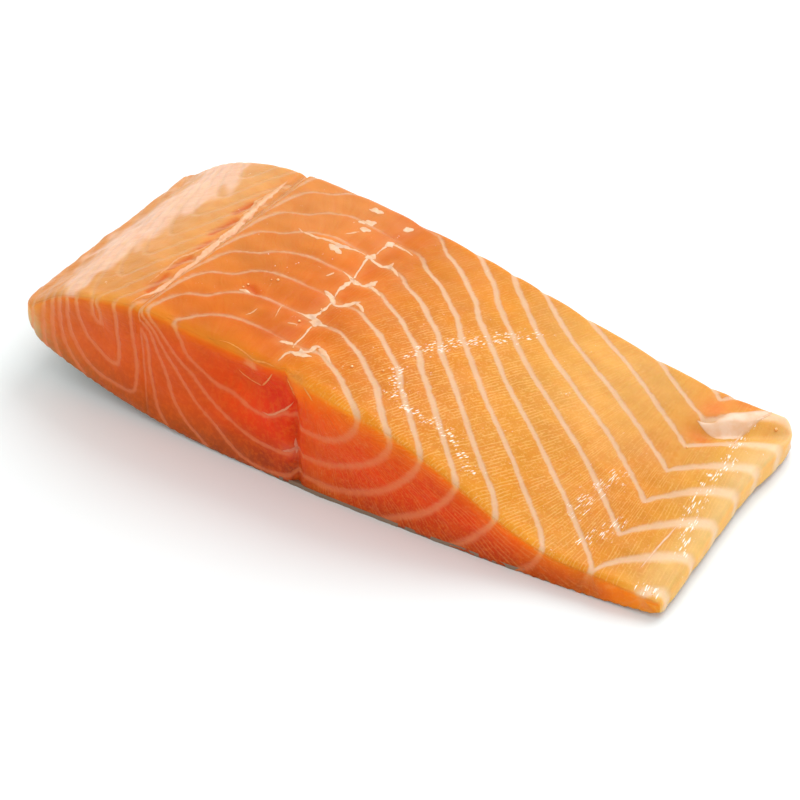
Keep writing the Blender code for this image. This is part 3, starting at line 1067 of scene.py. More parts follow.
        # Painted light on the upright side at the belly edge, which lies in shade.
        side = self._upright_share(spots) * ease((across - 148) / 6)
        colour = mix(colour, linear(BELLY_SIDE_LIT), (0.75 * side)[:, None])
        colour = self._tinted(colour, TOP_TINTS, across, along)
        for ribbon in (*SPINE_TISSUE, *SEAM_TISSUE):
            reach = 0.8 + 1.4 * float(np.mean(ribbon.widths))
            near = 0.4 * bump(from_line(across, along, ribbon.path), reach)
            colour = mix(colour, linear(GATHERED), near[:, None])
        # Painted shade in the cracks beside the seam.
        for first, last, half_width in CRACKS:
            share = 0.85 * bump(from_line(across, along, (first, last)), half_width)
            colour = mix(colour, linear(CRACK_SHADE_COLOUR), share[:, None])
        return colour

    @staticmethod
    def _tinted(colour: Values, tints: Sequence[tuple], across: Values, second: Values,
                where: Values | float = 1.0) -> Values:
        """Lay round tints on a colour.

        Args:
            colour: The colour of each place.
            tints: The tints, as TOP_TINTS and CUT_TINTS_AND_SHADE have them.
            across, second: The places, with their place along or their height.
            where: How much of the tints each place takes.

        Returns:
            The colour of each place with the tints.
        """
        for middle, level, half_width, half_length, tint, share in tints:
            near = bump(across - middle, half_width) * bump(second - level, half_length) * where
            colour = mix(colour, linear(tint), share * near[:, None])
        return colour

    def _cut_colour(self, spots: Spots, count: Values, depth: Values) -> Values:
        """Colour of a cut between the sheets.

        Args:
            spots: Where the vertices lie.
            count: The flake count there.
            depth: How far below the top they are.

        Returns:
            The linear colour of each vertex.
        """
        across, height = spots.across, spots.height
        colour = colour_curve(FLESH_AND_SHADE_ON_CUT, across)
        # Tints of the front cut, with painted shade in its hollows, fading behind the cut.
        colour = self._tinted(colour, CUT_TINTS_AND_SHADE, across, height, ease((20 - spots.along) / 10))
        middle = 1 - np.abs(2 * (count - np.floor(count)) - 1)
        in_lower = band(across, *self.lower)
        past_steep = ease((across - 98) / 10)
        between = in_lower * (1 - middle)
        reach = mix(mix(1.6, 2.8, in_lower) + 1.8 * between, 1.9 + 0.9 * between, past_steep)
        glow = np.exp(-np.maximum(depth, 0) / reach) * smooth_curve(self.glow_on_cut, across)
        tint = mix(linear(CREST_GLOW), linear(CREST_LOW), past_steep[:, None])
        colour = mix(colour, tint, glow[:, None])
        # The front cut's painted shade gives way towards the rear cut to the colour the light
        # reaches.
        at_rear = LIT_SHARE * ease((spots.along - 40) / 15)
        colour = mix(colour, linear(LIT_CUT), at_rear[:, None])
        low = ease((11 - height + self.form.curl(across)) / 11) * ease((150 - across) / 8)
        return colour * mix(np.ones(3), np.array(FOOT_TINT), low[:, None])


class Graph:
    """Builds the nodes of a material or of a node group."""

    def __init__(self, tree: bpy.types.NodeTree) -> None:
        """Start from an empty tree."""
        self.tree = tree
        tree.nodes.clear()

    def add(self, kind: str, **settings: object) -> bpy.types.Node:
        """Add a node and set its properties."""
        node = self.tree.nodes.new(kind)
        for name, value in settings.items():
            setattr(node, name, value)
        return node

    def feed(self, target: Socket, value: object) -> None:
        """Link a socket to a node's input, or set the input's value."""
        if isinstance(value, Socket):
            self.tree.links.new(value, target)
        elif isinstance(target.default_value, (int, float)):
            target.default_value = value
        else:
            padded = (*value, 1.0)
            target.default_value = padded[:len(target.default_value)]

    def fill(self, node: bpy.types.Node, **values: object) -> None:
        """Set a node's inputs by name, with _ for a space."""
        for name, value in values.items():
            self.feed(node.inputs[name.replace("_", " ")], value)

    def math(self, operation: str, *values: object) -> Socket:
        """Work out a sum, product or other function of numbers."""
        node = self.add("ShaderNodeMath", operation=operation)
        for target, value in zip(node.inputs, values):
            self.feed(target, value)
        return node.outputs[0]

    def times(self, first: object, second: object) -> Socket:
        """Multiply two numbers."""
        return self.math('MULTIPLY', first, second)

    def to_whole(self, value: object) -> Socket:
        """Distance of a number above -1000 from the nearest whole one."""
        return self.math('PINGPONG', self.math('ADD', value, 1000), 0.5)

    def step(self, value: object, low: object, high: object, start: float = 0.0,
             end: float = 1.0) -> Socket:
        """Ease from start to end as value goes from low to high."""
        node = self.add("ShaderNodeMapRange", interpolation_type='SMOOTHSTEP')
        self.fill(node, Value=value, From_Min=low, From_Max=high, To_Min=start, To_Max=end)
        return node.outputs["Result"]

    def stored(self, name: str, colour: bool = False) -> Socket:
        """Read a value that the mesh keeps."""
        node = self.add("ShaderNodeAttribute", attribute_name=name)
        return node.outputs["Color" if colour else "Fac"]

    def place(self) -> Socket:
        """The place on the object, in metres."""
        return self.add("ShaderNodeTexCoord").outputs["Object"]

    def noise(self, vector: object, scale: float, detail: float = 2.0,
              roughness: float = 0.5) -> Socket:
        """Soft noise about 0.5."""
        node = self.add("ShaderNodeTexNoise", noise_dimensions='3D')
        self.fill(node, Vector=vector, Scale=scale, Detail=detail, Roughness=roughness)
        return node.outputs["Fac"]

    def cells(self, vector: object, scale: float, spread: float = 1.0) -> Socket:
        """Distance from the middle of the nearest of some scattered cells."""
        node = self.add("ShaderNodeTexVoronoi")
        self.fill(node, Vector=vector, Scale=scale, Randomness=spread)
        return node.outputs["Distance"]

    def vector(self, *parts: object) -> Socket:
        """Put three numbers together."""
        node = self.add("ShaderNodeCombineXYZ")
        for target, value in zip(node.inputs, parts):
            self.feed(target, value)
        return node.outputs[0]

    def blend(self, share: object, first: object, second: object) -> Socket:
        """Mix two colours."""
        node = self.add("ShaderNodeMix", data_type='RGBA')
        inputs = [socket for socket in node.inputs if socket.enabled]
        for target, value in zip(inputs, (share, first, second)):
            self.feed(target, value)
        return next(socket for socket in node.outputs if socket.enabled)

    def use(self, group: bpy.types.NodeTree, **values: object) -> bpy.types.Node:
        """Use a node group, with its inputs set by name."""
        node = self.add("ShaderNodeGroup", node_tree=group)
        self.fill(node, **values)
        return node

    def relief(self, height: object, distance: float) -> Socket:
        """Bumps of this height, for a surface's normal."""
        node = self.add("ShaderNodeBump")
        self.fill(node, Distance=distance, Height=height)
        return node.outputs["Normal"]


def new_group(name: str, inputs: Iterable[tuple[str, str]],
              outputs: Iterable[tuple[str, str]]) -> tuple[Graph, dict, bpy.types.Node]:
    """Make an empty node group.

    Args:
        name: Name of the group.
        inputs: (name, kind) of each input.
        outputs: (name, kind) of each output.

    Returns:
        Its graph, its inputs by name, and the node that its outputs go to.
    """
    tree = bpy.data.node_groups.new(name, "ShaderNodeTree")
    for label, kind in inputs:
        tree.interface.new_socket(label, in_out='INPUT', socket_type=f"NodeSocket{kind}")
    for label, kind in outputs:
        tree.interface.new_socket(label, in_out='OUTPUT', socket_type=f"NodeSocket{kind}")
    graph = Graph(tree)
    source = graph.add("NodeGroupInput")
    sink = graph.add("NodeGroupOutput")
    return graph, {socket.name: socket for socket in source.outputs if socket.name}, sink


@dataclass(frozen=True)
class TissueLines:
    """The group that draws the white sheets where they meet the surface.

    Attributes:
        wander: How far a line strays, in flakes, and the size of its bends.
        beading: How uneven its edges are, in millimetres, and the size of the beads.
        inner: Where a line starts to fade, as a share of its half width: for a sharp line, and
            how much less for a soft one.
        outer: How far past its half width it has faded, in millimetres, in the same way.
        halo: How far the paler flesh beside it reaches, in millimetres.
    """

    wander: tuple = (0.035, 0.012)
    beading: tuple = (0.35, 0.0016)
    inner: tuple = (0.65, 0.6)
    outer: tuple = (0.2, 0.9)
    halo: float = 1.5

    def build(self) -> bpy.types.NodeTree:
        """Make the group."""
        graph, given, sink = new_group(
            "tissue_lines", [("Place", "Vector"), ("Flake", "Float"), ("Spread", "Float"),
                             ("Half Width", "Float"), ("Soft", "Float")],
            [("Line", "Float"), ("Halo", "Float")])
        stray, bend = self.wander
        wide = graph.noise(given["Place"], 1 / bend, 1.0)
        shift = graph.times(graph.math('SUBTRACT', wide, 0.5), 2 * stray)
        shifted = graph.math('ADD', given["Flake"], shift)
        off_sheet = graph.to_whole(shifted)
        distance = graph.times(off_sheet, given["Spread"])
        rough, bead = self.beading
        fine = graph.noise(given["Place"], 1 / bead, 2.0)
        edge = graph.times(graph.math('SUBTRACT', fine, 0.5), 2 * rough)
        distance = graph.math('ADD', distance, edge)
        sharp, less = self.inner
        inner = graph.times(given["Half Width"],
                            graph.math('MULTIPLY_ADD', given["Soft"], -less, sharp))
        sharp, more = self.outer
        outer = graph.math('MULTIPLY_ADD', given["Soft"], more,
                           graph.math('ADD', given["Half Width"], sharp))
        far = graph.math('ADD', given["Half Width"], self.halo)
        graph.fill(sink, Line=graph.step(distance, outer, inner),
                   Halo=graph.step(distance, far, inner))
        return graph.tree


@dataclass(frozen=True)
class FibreGrain:
    """The group for muscle fibres, which run across a flake from sheet to sheet.

    Attributes:
        pitch: Distance between two fibres, in millimetres.
        length: Length of one, in flakes.
        coarse: The same for bundles of fibres: how many times wider, and how many to a flake.
        tick: Distance between two light ticks across a flake, in millimetres. The ticks are pale
        fibres brightened as painted glints.
        bend: How the ticks bend: distance between two bends, in millimetres, how many there
            are to a flake, and how far they reach, in ticks.
        tick_edges: Where a tick has faded and where it is whole, in ticks from its middle.
        tick_luck: Noise below which there is no tick, and above which it is whole.
    """

    pitch: float = 0.42
    length: float = 0.7
    coarse: tuple = (2.4, 1.6)
    tick: float = 0.68
    bend: tuple = (1 / 0.35, 2.2, 0.9)
    tick_edges: tuple = (0.24, 0.08)
    tick_luck: tuple = (0.45, 0.56)

    def build(self) -> bpy.types.NodeTree:
        """Make the group."""
        graph, given, sink = new_group(
            "fibre_grain", [("Flake", "Float"), ("Weave", "Float")],
            [("Tone", "Float"), ("Tick", "Float")])
        wider, to_flake = self.coarse

        def woven(width: float, lengthwise: float, layer: float) -> Socket:
            """A place in the weave, for noise that is drawn out along the fibres."""
            return graph.vector(graph.math('DIVIDE', given["Weave"], width),
                                graph.times(given["Flake"], lengthwise), layer)

        strands = graph.noise(woven(self.pitch, 1 / self.length, 0.0), 0.5, 2.0, 0.6)
        bundles = graph.noise(woven(wider * self.pitch, to_flake, 4.0), 0.5, 2.0, 0.55)
        both = graph.math('ADD', graph.times(strands, 0.55), graph.times(bundles, 0.45))
        far, to_flake, most = self.bend
        bend = graph.times(graph.noise(woven(far, to_flake, 9.0), 1.0, 2.0), most)
        turns = graph.math('ADD', graph.math('DIVIDE', given["Weave"], self.tick), bend)
        near = graph.step(graph.to_whole(turns), *self.tick_edges)
        luck = graph.noise(woven(self.tick, 3.0, 2.0), 0.8, 2.0, 0.6)
        chosen = graph.step(luck, *self.tick_luck)
        graph.fill(sink, Tone=both, Tick=graph.times(near, chosen))
        return graph.tree


@dataclass(frozen=True)
class MoistFilm:
    """The group for the film of moisture, with its small glints.

    Attributes:
        patch: Size of the wetter patches, in metres.
        grain: Size of its fine unevenness, in metres.
        dash: Size of a glint, as its distance to the next along a sheet, in millimetres, and
            how many there are from sheet to sheet.
        dash_edges: Where a glint has faded and where it is whole, in distances from its middle.
        cluster: Size of the clusters of glints, in metres.
        likely: How much the wanted amount adds to the noise that chooses the glints.
        luck: Noise below which there is no glint, and above which it is whole.
    """

    patch: float = 0.012
    grain: float = 0.0007
    dash: tuple = (0.36, 4.6)
    dash_edges: tuple = (0.44, 0.20)
    cluster: float = 0.0022
    likely: float = 0.28
    luck: tuple = (0.64, 0.74)

    def build(self) -> bpy.types.NodeTree:
        """Make the group."""
        graph, given, sink = new_group(
            "moist_film", [("Place", "Vector"), ("Flake", "Float"), ("Weave", "Float"),
                           ("Amount", "Float")],
            [("Wet", "Float"), ("Glint", "Float"), ("Height", "Float")])
        place = given["Place"]
        wet = graph.step(graph.noise(place, 1 / self.patch, 3.0, 0.6), 0.35, 0.65)
        beside, between = self.dash
        weft = graph.vector(graph.math('DIVIDE', given["Weave"], beside),
                            graph.times(given["Flake"], between), 0.0)
        near = graph.step(graph.cells(weft, 1.0), *self.dash_edges)
        luck = graph.noise(place, 1 / self.cluster, 4.0, 0.75)
        chance = graph.math('MULTIPLY_ADD', given["Amount"], self.likely, luck)
        chosen = graph.step(chance, *self.luck)
        fine = graph.noise(place, 1 / self.grain, 3.0, 0.6)
        graph.fill(sink, Wet=wet, Glint=graph.times(near, chosen), Height=fine)
        return graph.tree


@dataclass(frozen=True)
class Effects:
    """The node groups that several finishes share."""

    lines: bpy.types.NodeTree
    grain: bpy.types.NodeTree
    film: bpy.types.NodeTree


def new_finish(name: str) -> tuple[bpy.types.Material, Graph, bpy.types.Node]:
    """Make a material with a Principled surface.

    Returns:
        The material, its graph and its Principled node.
    """
    material = bpy.data.materials.new(name)
    material.use_nodes = True
    graph = Graph(material.node_tree)
    surface = graph.add("ShaderNodeBsdfPrincipled")
    output = graph.add("ShaderNodeOutputMaterial")
    graph.tree.links.new(surface.outputs["BSDF"], output.inputs["Surface"])
    return material, graph, surface


def dress(piece: Piece, material: bpy.types.Material) -> None:
    """Give a piece its finish."""
    piece.data.materials.clear()
    piece.data.materials.append(material)


@dataclass(frozen=True)
class FleshFinish:
    """Moist raw muscle with white sheets.

    Attributes:
        deep, mottle, speck: Screen colours of the darker fibres, of the lighter mottle of a cut
        and of the small light specks and ticks of the top. The ticks are pale fibres brightened as
        painted glints.
        shine: Linear colour of the glints.
        fibre_share: How strong the darker fibres are on the top, and how much more on a cut.
        mottle_share, speck_share, tick_share, halo_share, glint_share: How strong those are.
        mottling, speckling: How fine the mottle and the specks are, per metre, and the noise
            where they start and where they are whole.
        rough: Roughness where the flesh is dry and where it is wet.
        scatter: How much light goes in, how far it goes and its colours.
        gloss: Specular level and refractive index.
        coat: Weight and roughness of the wet coat.
        relief: Depth of the fibres, of the fine grain and of the sheets, in metres.
    """

    deep: Colour = (204, 72, 4)
    mottle: Colour = (232, 110, 30)
    speck: Colour = (240, 190, 112)
    shine: Colour = (1.0, 0.95, 0.86)
    fibre_share: tuple = (0.10, 0.20)
    mottle_share: float = 0.26
    speck_share: float = 0.30
    tick_share: float = 0.42
    halo_share: float = 0.08
    glint_share: float = 0.9
    mottling: tuple = (900, 0.42, 0.68)
    speckling: tuple = (1700, 0.50, 0.68)
    rough: tuple = (0.50, 0.34)
    scatter: tuple = (0.30, 0.0035, (1.0, 0.36, 0.12))
    gloss: tuple = (0.18, 1.34)
    coat: tuple = (0.07, 0.16)
    relief: tuple = (0.00022, 0.00008, 0.00010)

    def build(self, effects: Effects) -> bpy.types.Material:
        """Make the material."""
        material, graph, surface = new_finish("raw_flesh")
        place = graph.place()
        flake, weave = graph.stored("flake"), graph.stored("weave")
        cut, ticks, whole = graph.stored("cut"), graph.stored("ticks"), graph.stored("grain")
        lines = graph.use(effects.lines, Place=place, Flake=flake, Spread=graph.stored("spread"),
                          Half_Width=graph.stored("tissue"), Soft=graph.stored("soft"))
        grain = graph.use(effects.grain, Flake=flake, Weave=weave)
        film = graph.use(effects.film, Place=place, Flake=flake, Weave=weave,
                         Amount=graph.stored("glint"))

        def noisy(size: float, low: float, high: float, detail: float) -> Socket:
            """Spots of this fineness, between these levels of noise."""
            return graph.step(graph.noise(place, size, 2.0, detail), low, high)

        meat = graph.stored("meat", colour=True)
        dark = graph.times(graph.step(grain.outputs["Tone"], 0.55, 0.38), whole)
        on_top, more_on_cut = self.fibre_share
        fibre_share = graph.math('MULTIPLY_ADD', cut, more_on_cut, on_top)
        meat = graph.blend(graph.times(dark, fibre_share), meat, linear(self.deep))
        mottle = graph.times(noisy(*self.mottling, 0.6), graph.times(cut, self.mottle_share))
        meat = graph.blend(mottle, meat, linear(self.mottle))
        speck = graph.times(noisy(*self.speckling, 0.65), graph.times(ticks, self.speck_share))
        meat = graph.blend(speck, meat, linear(self.speck))
        # Light ticks on the fibres: pale fibres brightened as painted glints.
        light = graph.times(graph.times(grain.outputs["Tick"], ticks), whole)
        meat = graph.blend(graph.times(light, self.tick_share), meat, linear(self.speck))
        tissue = graph.stored("vein", colour=True)
        meat = graph.blend(graph.times(lines.outputs["Halo"], self.halo_share), meat, tissue)
        share = graph.times(lines.outputs["Line"], graph.stored("pale"))
        colour = graph.blend(share, meat, tissue)
        glint = graph.times(film.outputs["Glint"], self.glint_share)
        wet = film.outputs["Wet"]
        level, index = self.gloss
        weight, radius, colours = self.scatter
        coat, coat_roughness = self.coat
        fibre, fine, sheet = self.relief
        height = graph.times(graph.times(grain.outputs["Tone"], fibre), whole)
        height = graph.math('MULTIPLY_ADD', film.outputs["Height"], fine, height)
        height = graph.math('MULTIPLY_ADD', lines.outputs["Line"], -sheet, height)
        graph.fill(surface, Base_Color=graph.blend(glint, colour, self.shine),
                   Roughness=graph.step(wet, 0, 1, *self.rough),
                   Specular_IOR_Level=level, IOR=index,
                   Subsurface_Weight=weight, Subsurface_Scale=radius, Subsurface_Radius=colours,
                   Coat_Weight=graph.step(wet, 0, 1, 0.5 * coat, coat),
                   Coat_Roughness=coat_roughness, Normal=graph.relief(height, 1.0))
        return material


@dataclass(frozen=True)
class Skin:
    """The thin skin under the flesh.

    Attributes:
        cells: Cells of its mesh across, along and through.
        ragged: How far its front edge strays, as (wavelength, distance).
        forward: How far it stands out in front of the flesh, as (across, distance).
        belly_inset: How far its belly edge lies inside the flesh's.
    """

    form: FilletForm
    cells: tuple = (220, 90, 3)
    ragged: tuple = ((9.0, 0.12), (4.6, 0.08), (2.4, 0.04))
    forward: tuple = ((0, -1.6), (58, -1.3), (66, -0.3), (74, 0.10), (90, 0.12), (104, 0.02),
                      (122, -0.04), (136, -0.2), (146, -0.8), (152, -1.3), (160, -2.0))
    belly_inset: float = 1.6

    def build(self) -> Piece:
        """Make the skin."""
        piece = unit_block("skin_sheet", self.cells)
        unit = points_of(piece)
        form = self.form
        across = stretch(unit[:, 0], 0.2) * form.width
        along_share = stretch(unit[:, 1], 0.35)
        plan_across, plan_along = form.outline(across, along_share, 0 * across, 0.5 + 0 * across)
        stray = -smooth_curve(self.forward, across)
        for number, (wavelength, distance) in enumerate(self.ragged):
            stray += distance * ripple((across,), wavelength, 40 + number)
        plan_along += stray * np.clip(1 - 4 * along_share, 0, 1)
        plan_across -= self.belly_inset * np.clip(1 - (form.width - across) / 12, 0, 1)
        height = form.curl(plan_across) + form.skin * unit[:, 2]
        place_points(piece, form.place(plan_across, plan_along, height))
        smooth_shaded(piece)
        return piece


@dataclass(frozen=True)
class SkinFinish:
    """Silvery skin with fine scales.

    Attributes:
        back, belly, edge: Screen colours of the back, the belly and the scales' edges.
        rim: Screen colour where the skin is cut, at the front.
        scale, scale_depth: Size of a scale and depth of its relief, in metres.
    """

    back: Colour = (84, 84, 76)
    belly: Colour = (188, 186, 176)
    edge: Colour = (128, 116, 88)
    rim: Colour = (118, 84, 52)
    scale: float = 0.0035
    scale_depth: float = 0.0002

    def build(self) -> bpy.types.Material:
        """Make the material."""
        material, graph, surface = new_finish("silver_skin")
        place = graph.place()
        scales = graph.cells(place, 1 / self.scale, spread=0.55)
        parts = graph.add("ShaderNodeSeparateXYZ")
        graph.feed(parts.inputs[0], place)
        pale = graph.step(parts.outputs[0], -0.06, 0.05)
        colour = graph.blend(pale, linear(self.back), linear(self.belly))
        rim = graph.step(scales, 0.35, 0.6)
        colour = graph.blend(graph.times(rim, 0.35), colour, linear(self.edge))
        mottle = graph.noise(place, 160, 3.0, 0.6)
        colour = graph.blend(graph.times(graph.step(mottle, 0.5, 0.7), 0.3), colour,
                             linear(self.edge))
        at_front = graph.step(graph.math('ADD', parts.outputs[1], CUT_EDGE), 0.003, 0.0)
        colour = graph.blend(graph.times(at_front, 0.85), colour, linear(self.rim))
        graph.fill(surface, Base_Color=colour, Roughness=0.42, Coat_Weight=0.15,
                   Normal=graph.relief(scales, self.scale_depth))
        return material


class Drape:
    """Finds the flesh's surface, for what lies on it."""

    def __init__(self, form: FilletForm, flesh: Piece) -> None:
        """Prepare to look for the flesh's surface."""
        self.form = form
        self.tree = BVHTree.FromObject(flesh, bpy.context.evaluated_depsgraph_get())

    def points(self, first: Values, second: Values, on_cut: bool) -> tuple[Values, Values]:
        """Find points of the flesh's surface.

        Args:
            first: Places across.
            second: Places along, or heights where it is on the front cut.
            on_cut: Look at the front cut from the front, not at the top from above.

        Returns:
            The points, in metres, and the directions that the surface faces there.
        """
        clear = 60.0
        if on_cut:
            starts = self.form.place(first, 0 * first - clear, second)
            heading = Vector((0, 1, 0))
        else:
            starts = self.form.place(first, second, 0 * first + clear)
            heading = Vector((0, 0, -1))
        found = []
        for start in starts:
            hit = self.tree.ray_cast(Vector(start), heading)
            if hit[0] is None:
                hit = self.tree.find_nearest(Vector(start) + heading * clear * 0.6 * MM)
            found.append((*hit[0], *hit[1]))
        found = np.array(found)
        return found[:, :3], found[:, 3:]


@dataclass(frozen=True)
class Ribbon:
    """A strand or scrap of white tissue that lies on the flesh.

    Attributes:
        path: Its middle line, as (across, along) on the top or (across, height) on the front cut.
        widths: Its half width, evenly spaced from start to end.
        rise: How far its crown stands over the flesh.
        tone: 0 for the peach of thin tissue, 1 for pinkish white.
        on_cut: Whether it lies on the front cut.
    """

    path: tuple
    widths: tuple
    rise: float = 0.10
    tone: float = 1.0
    on_cut: bool = False


@dataclass(frozen=True)
class Strands:
    """Strands and scraps of white tissue, joined into one piece.

    Attributes:
        drape: Finds the surface that they lie on.
        ribbons: The strands.
        cell: Length of a cell along a strand.
        cells_across: Cells across a strand.
        ragged: Unevenness of the edges, as a share of the half width, and its wavelength.
        root: How deep a strand reaches into the flesh.
        blunt: How suddenly a strand narrows at its ends.
        broad: How much broader a strand's foot is than the part that stands out.
        dimples: Height of its unevenness.
    """

    drape: Drape
    ribbons: tuple
    cell: float = 0.3
    cells_across: int = 8
    ragged: tuple = (0.30, 2.0)
    root: float = 0.5
    blunt: float = 4.0
    broad: float = 1.35
    dimples: float = 0.03

    def build(self, name: str) -> Piece:
        """Make the strands, as one piece of this name."""
        return join_all(name, [self._strand(ribbon, number)
                               for number, ribbon in enumerate(self.ribbons)])

    def _strand(self, ribbon: Ribbon, number: int) -> Piece:
        """Make one strand, tapered at both ends and draped on the flesh.

        Args:
            ribbon: The strand to make.
            number: Its number, which chooses its unevenness.

        Returns:
            The strand.
        """
        corners = np.array(ribbon.path)
        steps = np.hypot(*np.diff(corners, axis=0).T)
        runs = np.concatenate([[0], np.cumsum(steps)]) / steps.sum()
        piece = unit_block(f"strand_{number}",
                           (max(8, round(steps.sum() / self.cell)), self.cells_across, 1))
        unit = points_of(piece)
        share, side, upper = unit[:, 0], 2 * unit[:, 1] - 1, unit[:, 2] > 0.5
        first = smooth_curve(list(zip(runs, corners[:, 0])), share)
        second = smooth_curve(list(zip(runs, corners[:, 1])), share)
        reach = 0.02
        ahead, behind = np.clip(share + reach, 0, 1), np.clip(share - reach, 0, 1)
        heading = np.stack([smooth_curve(list(zip(runs, corners[:, axis])), ahead)
                            - smooth_curve(list(zip(runs, corners[:, axis])), behind)
                            for axis in (0, 1)])
        heading /= np.linalg.norm(heading, axis=0)
        taper = np.sqrt(np.clip(1 - np.abs(2 * share - 1) ** self.blunt, 0, 1))
        half_width = np.interp(share, np.linspace(0, 1, len(ribbon.widths)), ribbon.widths)
        amount, wavelength = self.ragged
        uneven = 1 + amount * ripple((share * steps.sum(), 3.0 * np.sign(side)), wavelength,
                                     100 + number)
        half_width = np.maximum(self.broad * half_width * uneven * taper, 0.03)
        half_width = np.where(upper, half_width, 0.8 * half_width)
        surface, facing = self.drape.points(first - heading[1] * side * half_width,
                                            second + heading[0] * side * half_width,
                                            ribbon.on_cut)
        crown = (1 - np.abs(side) ** 2.5) * (0.3 + 0.7 * taper)
        dimples = self.dimples * ripple((first, second), 1.2, 300 + number)
        lift = np.where(upper, (ribbon.rise + dimples) * crown - 0.05, -self.root)
        place_points(piece, surface + facing * lift[:, None] * MM)
        store(piece, "rim", np.where(upper, crown, 0.0))
        store(piece, "tone", 0 * share + ribbon.tone)
        return piece


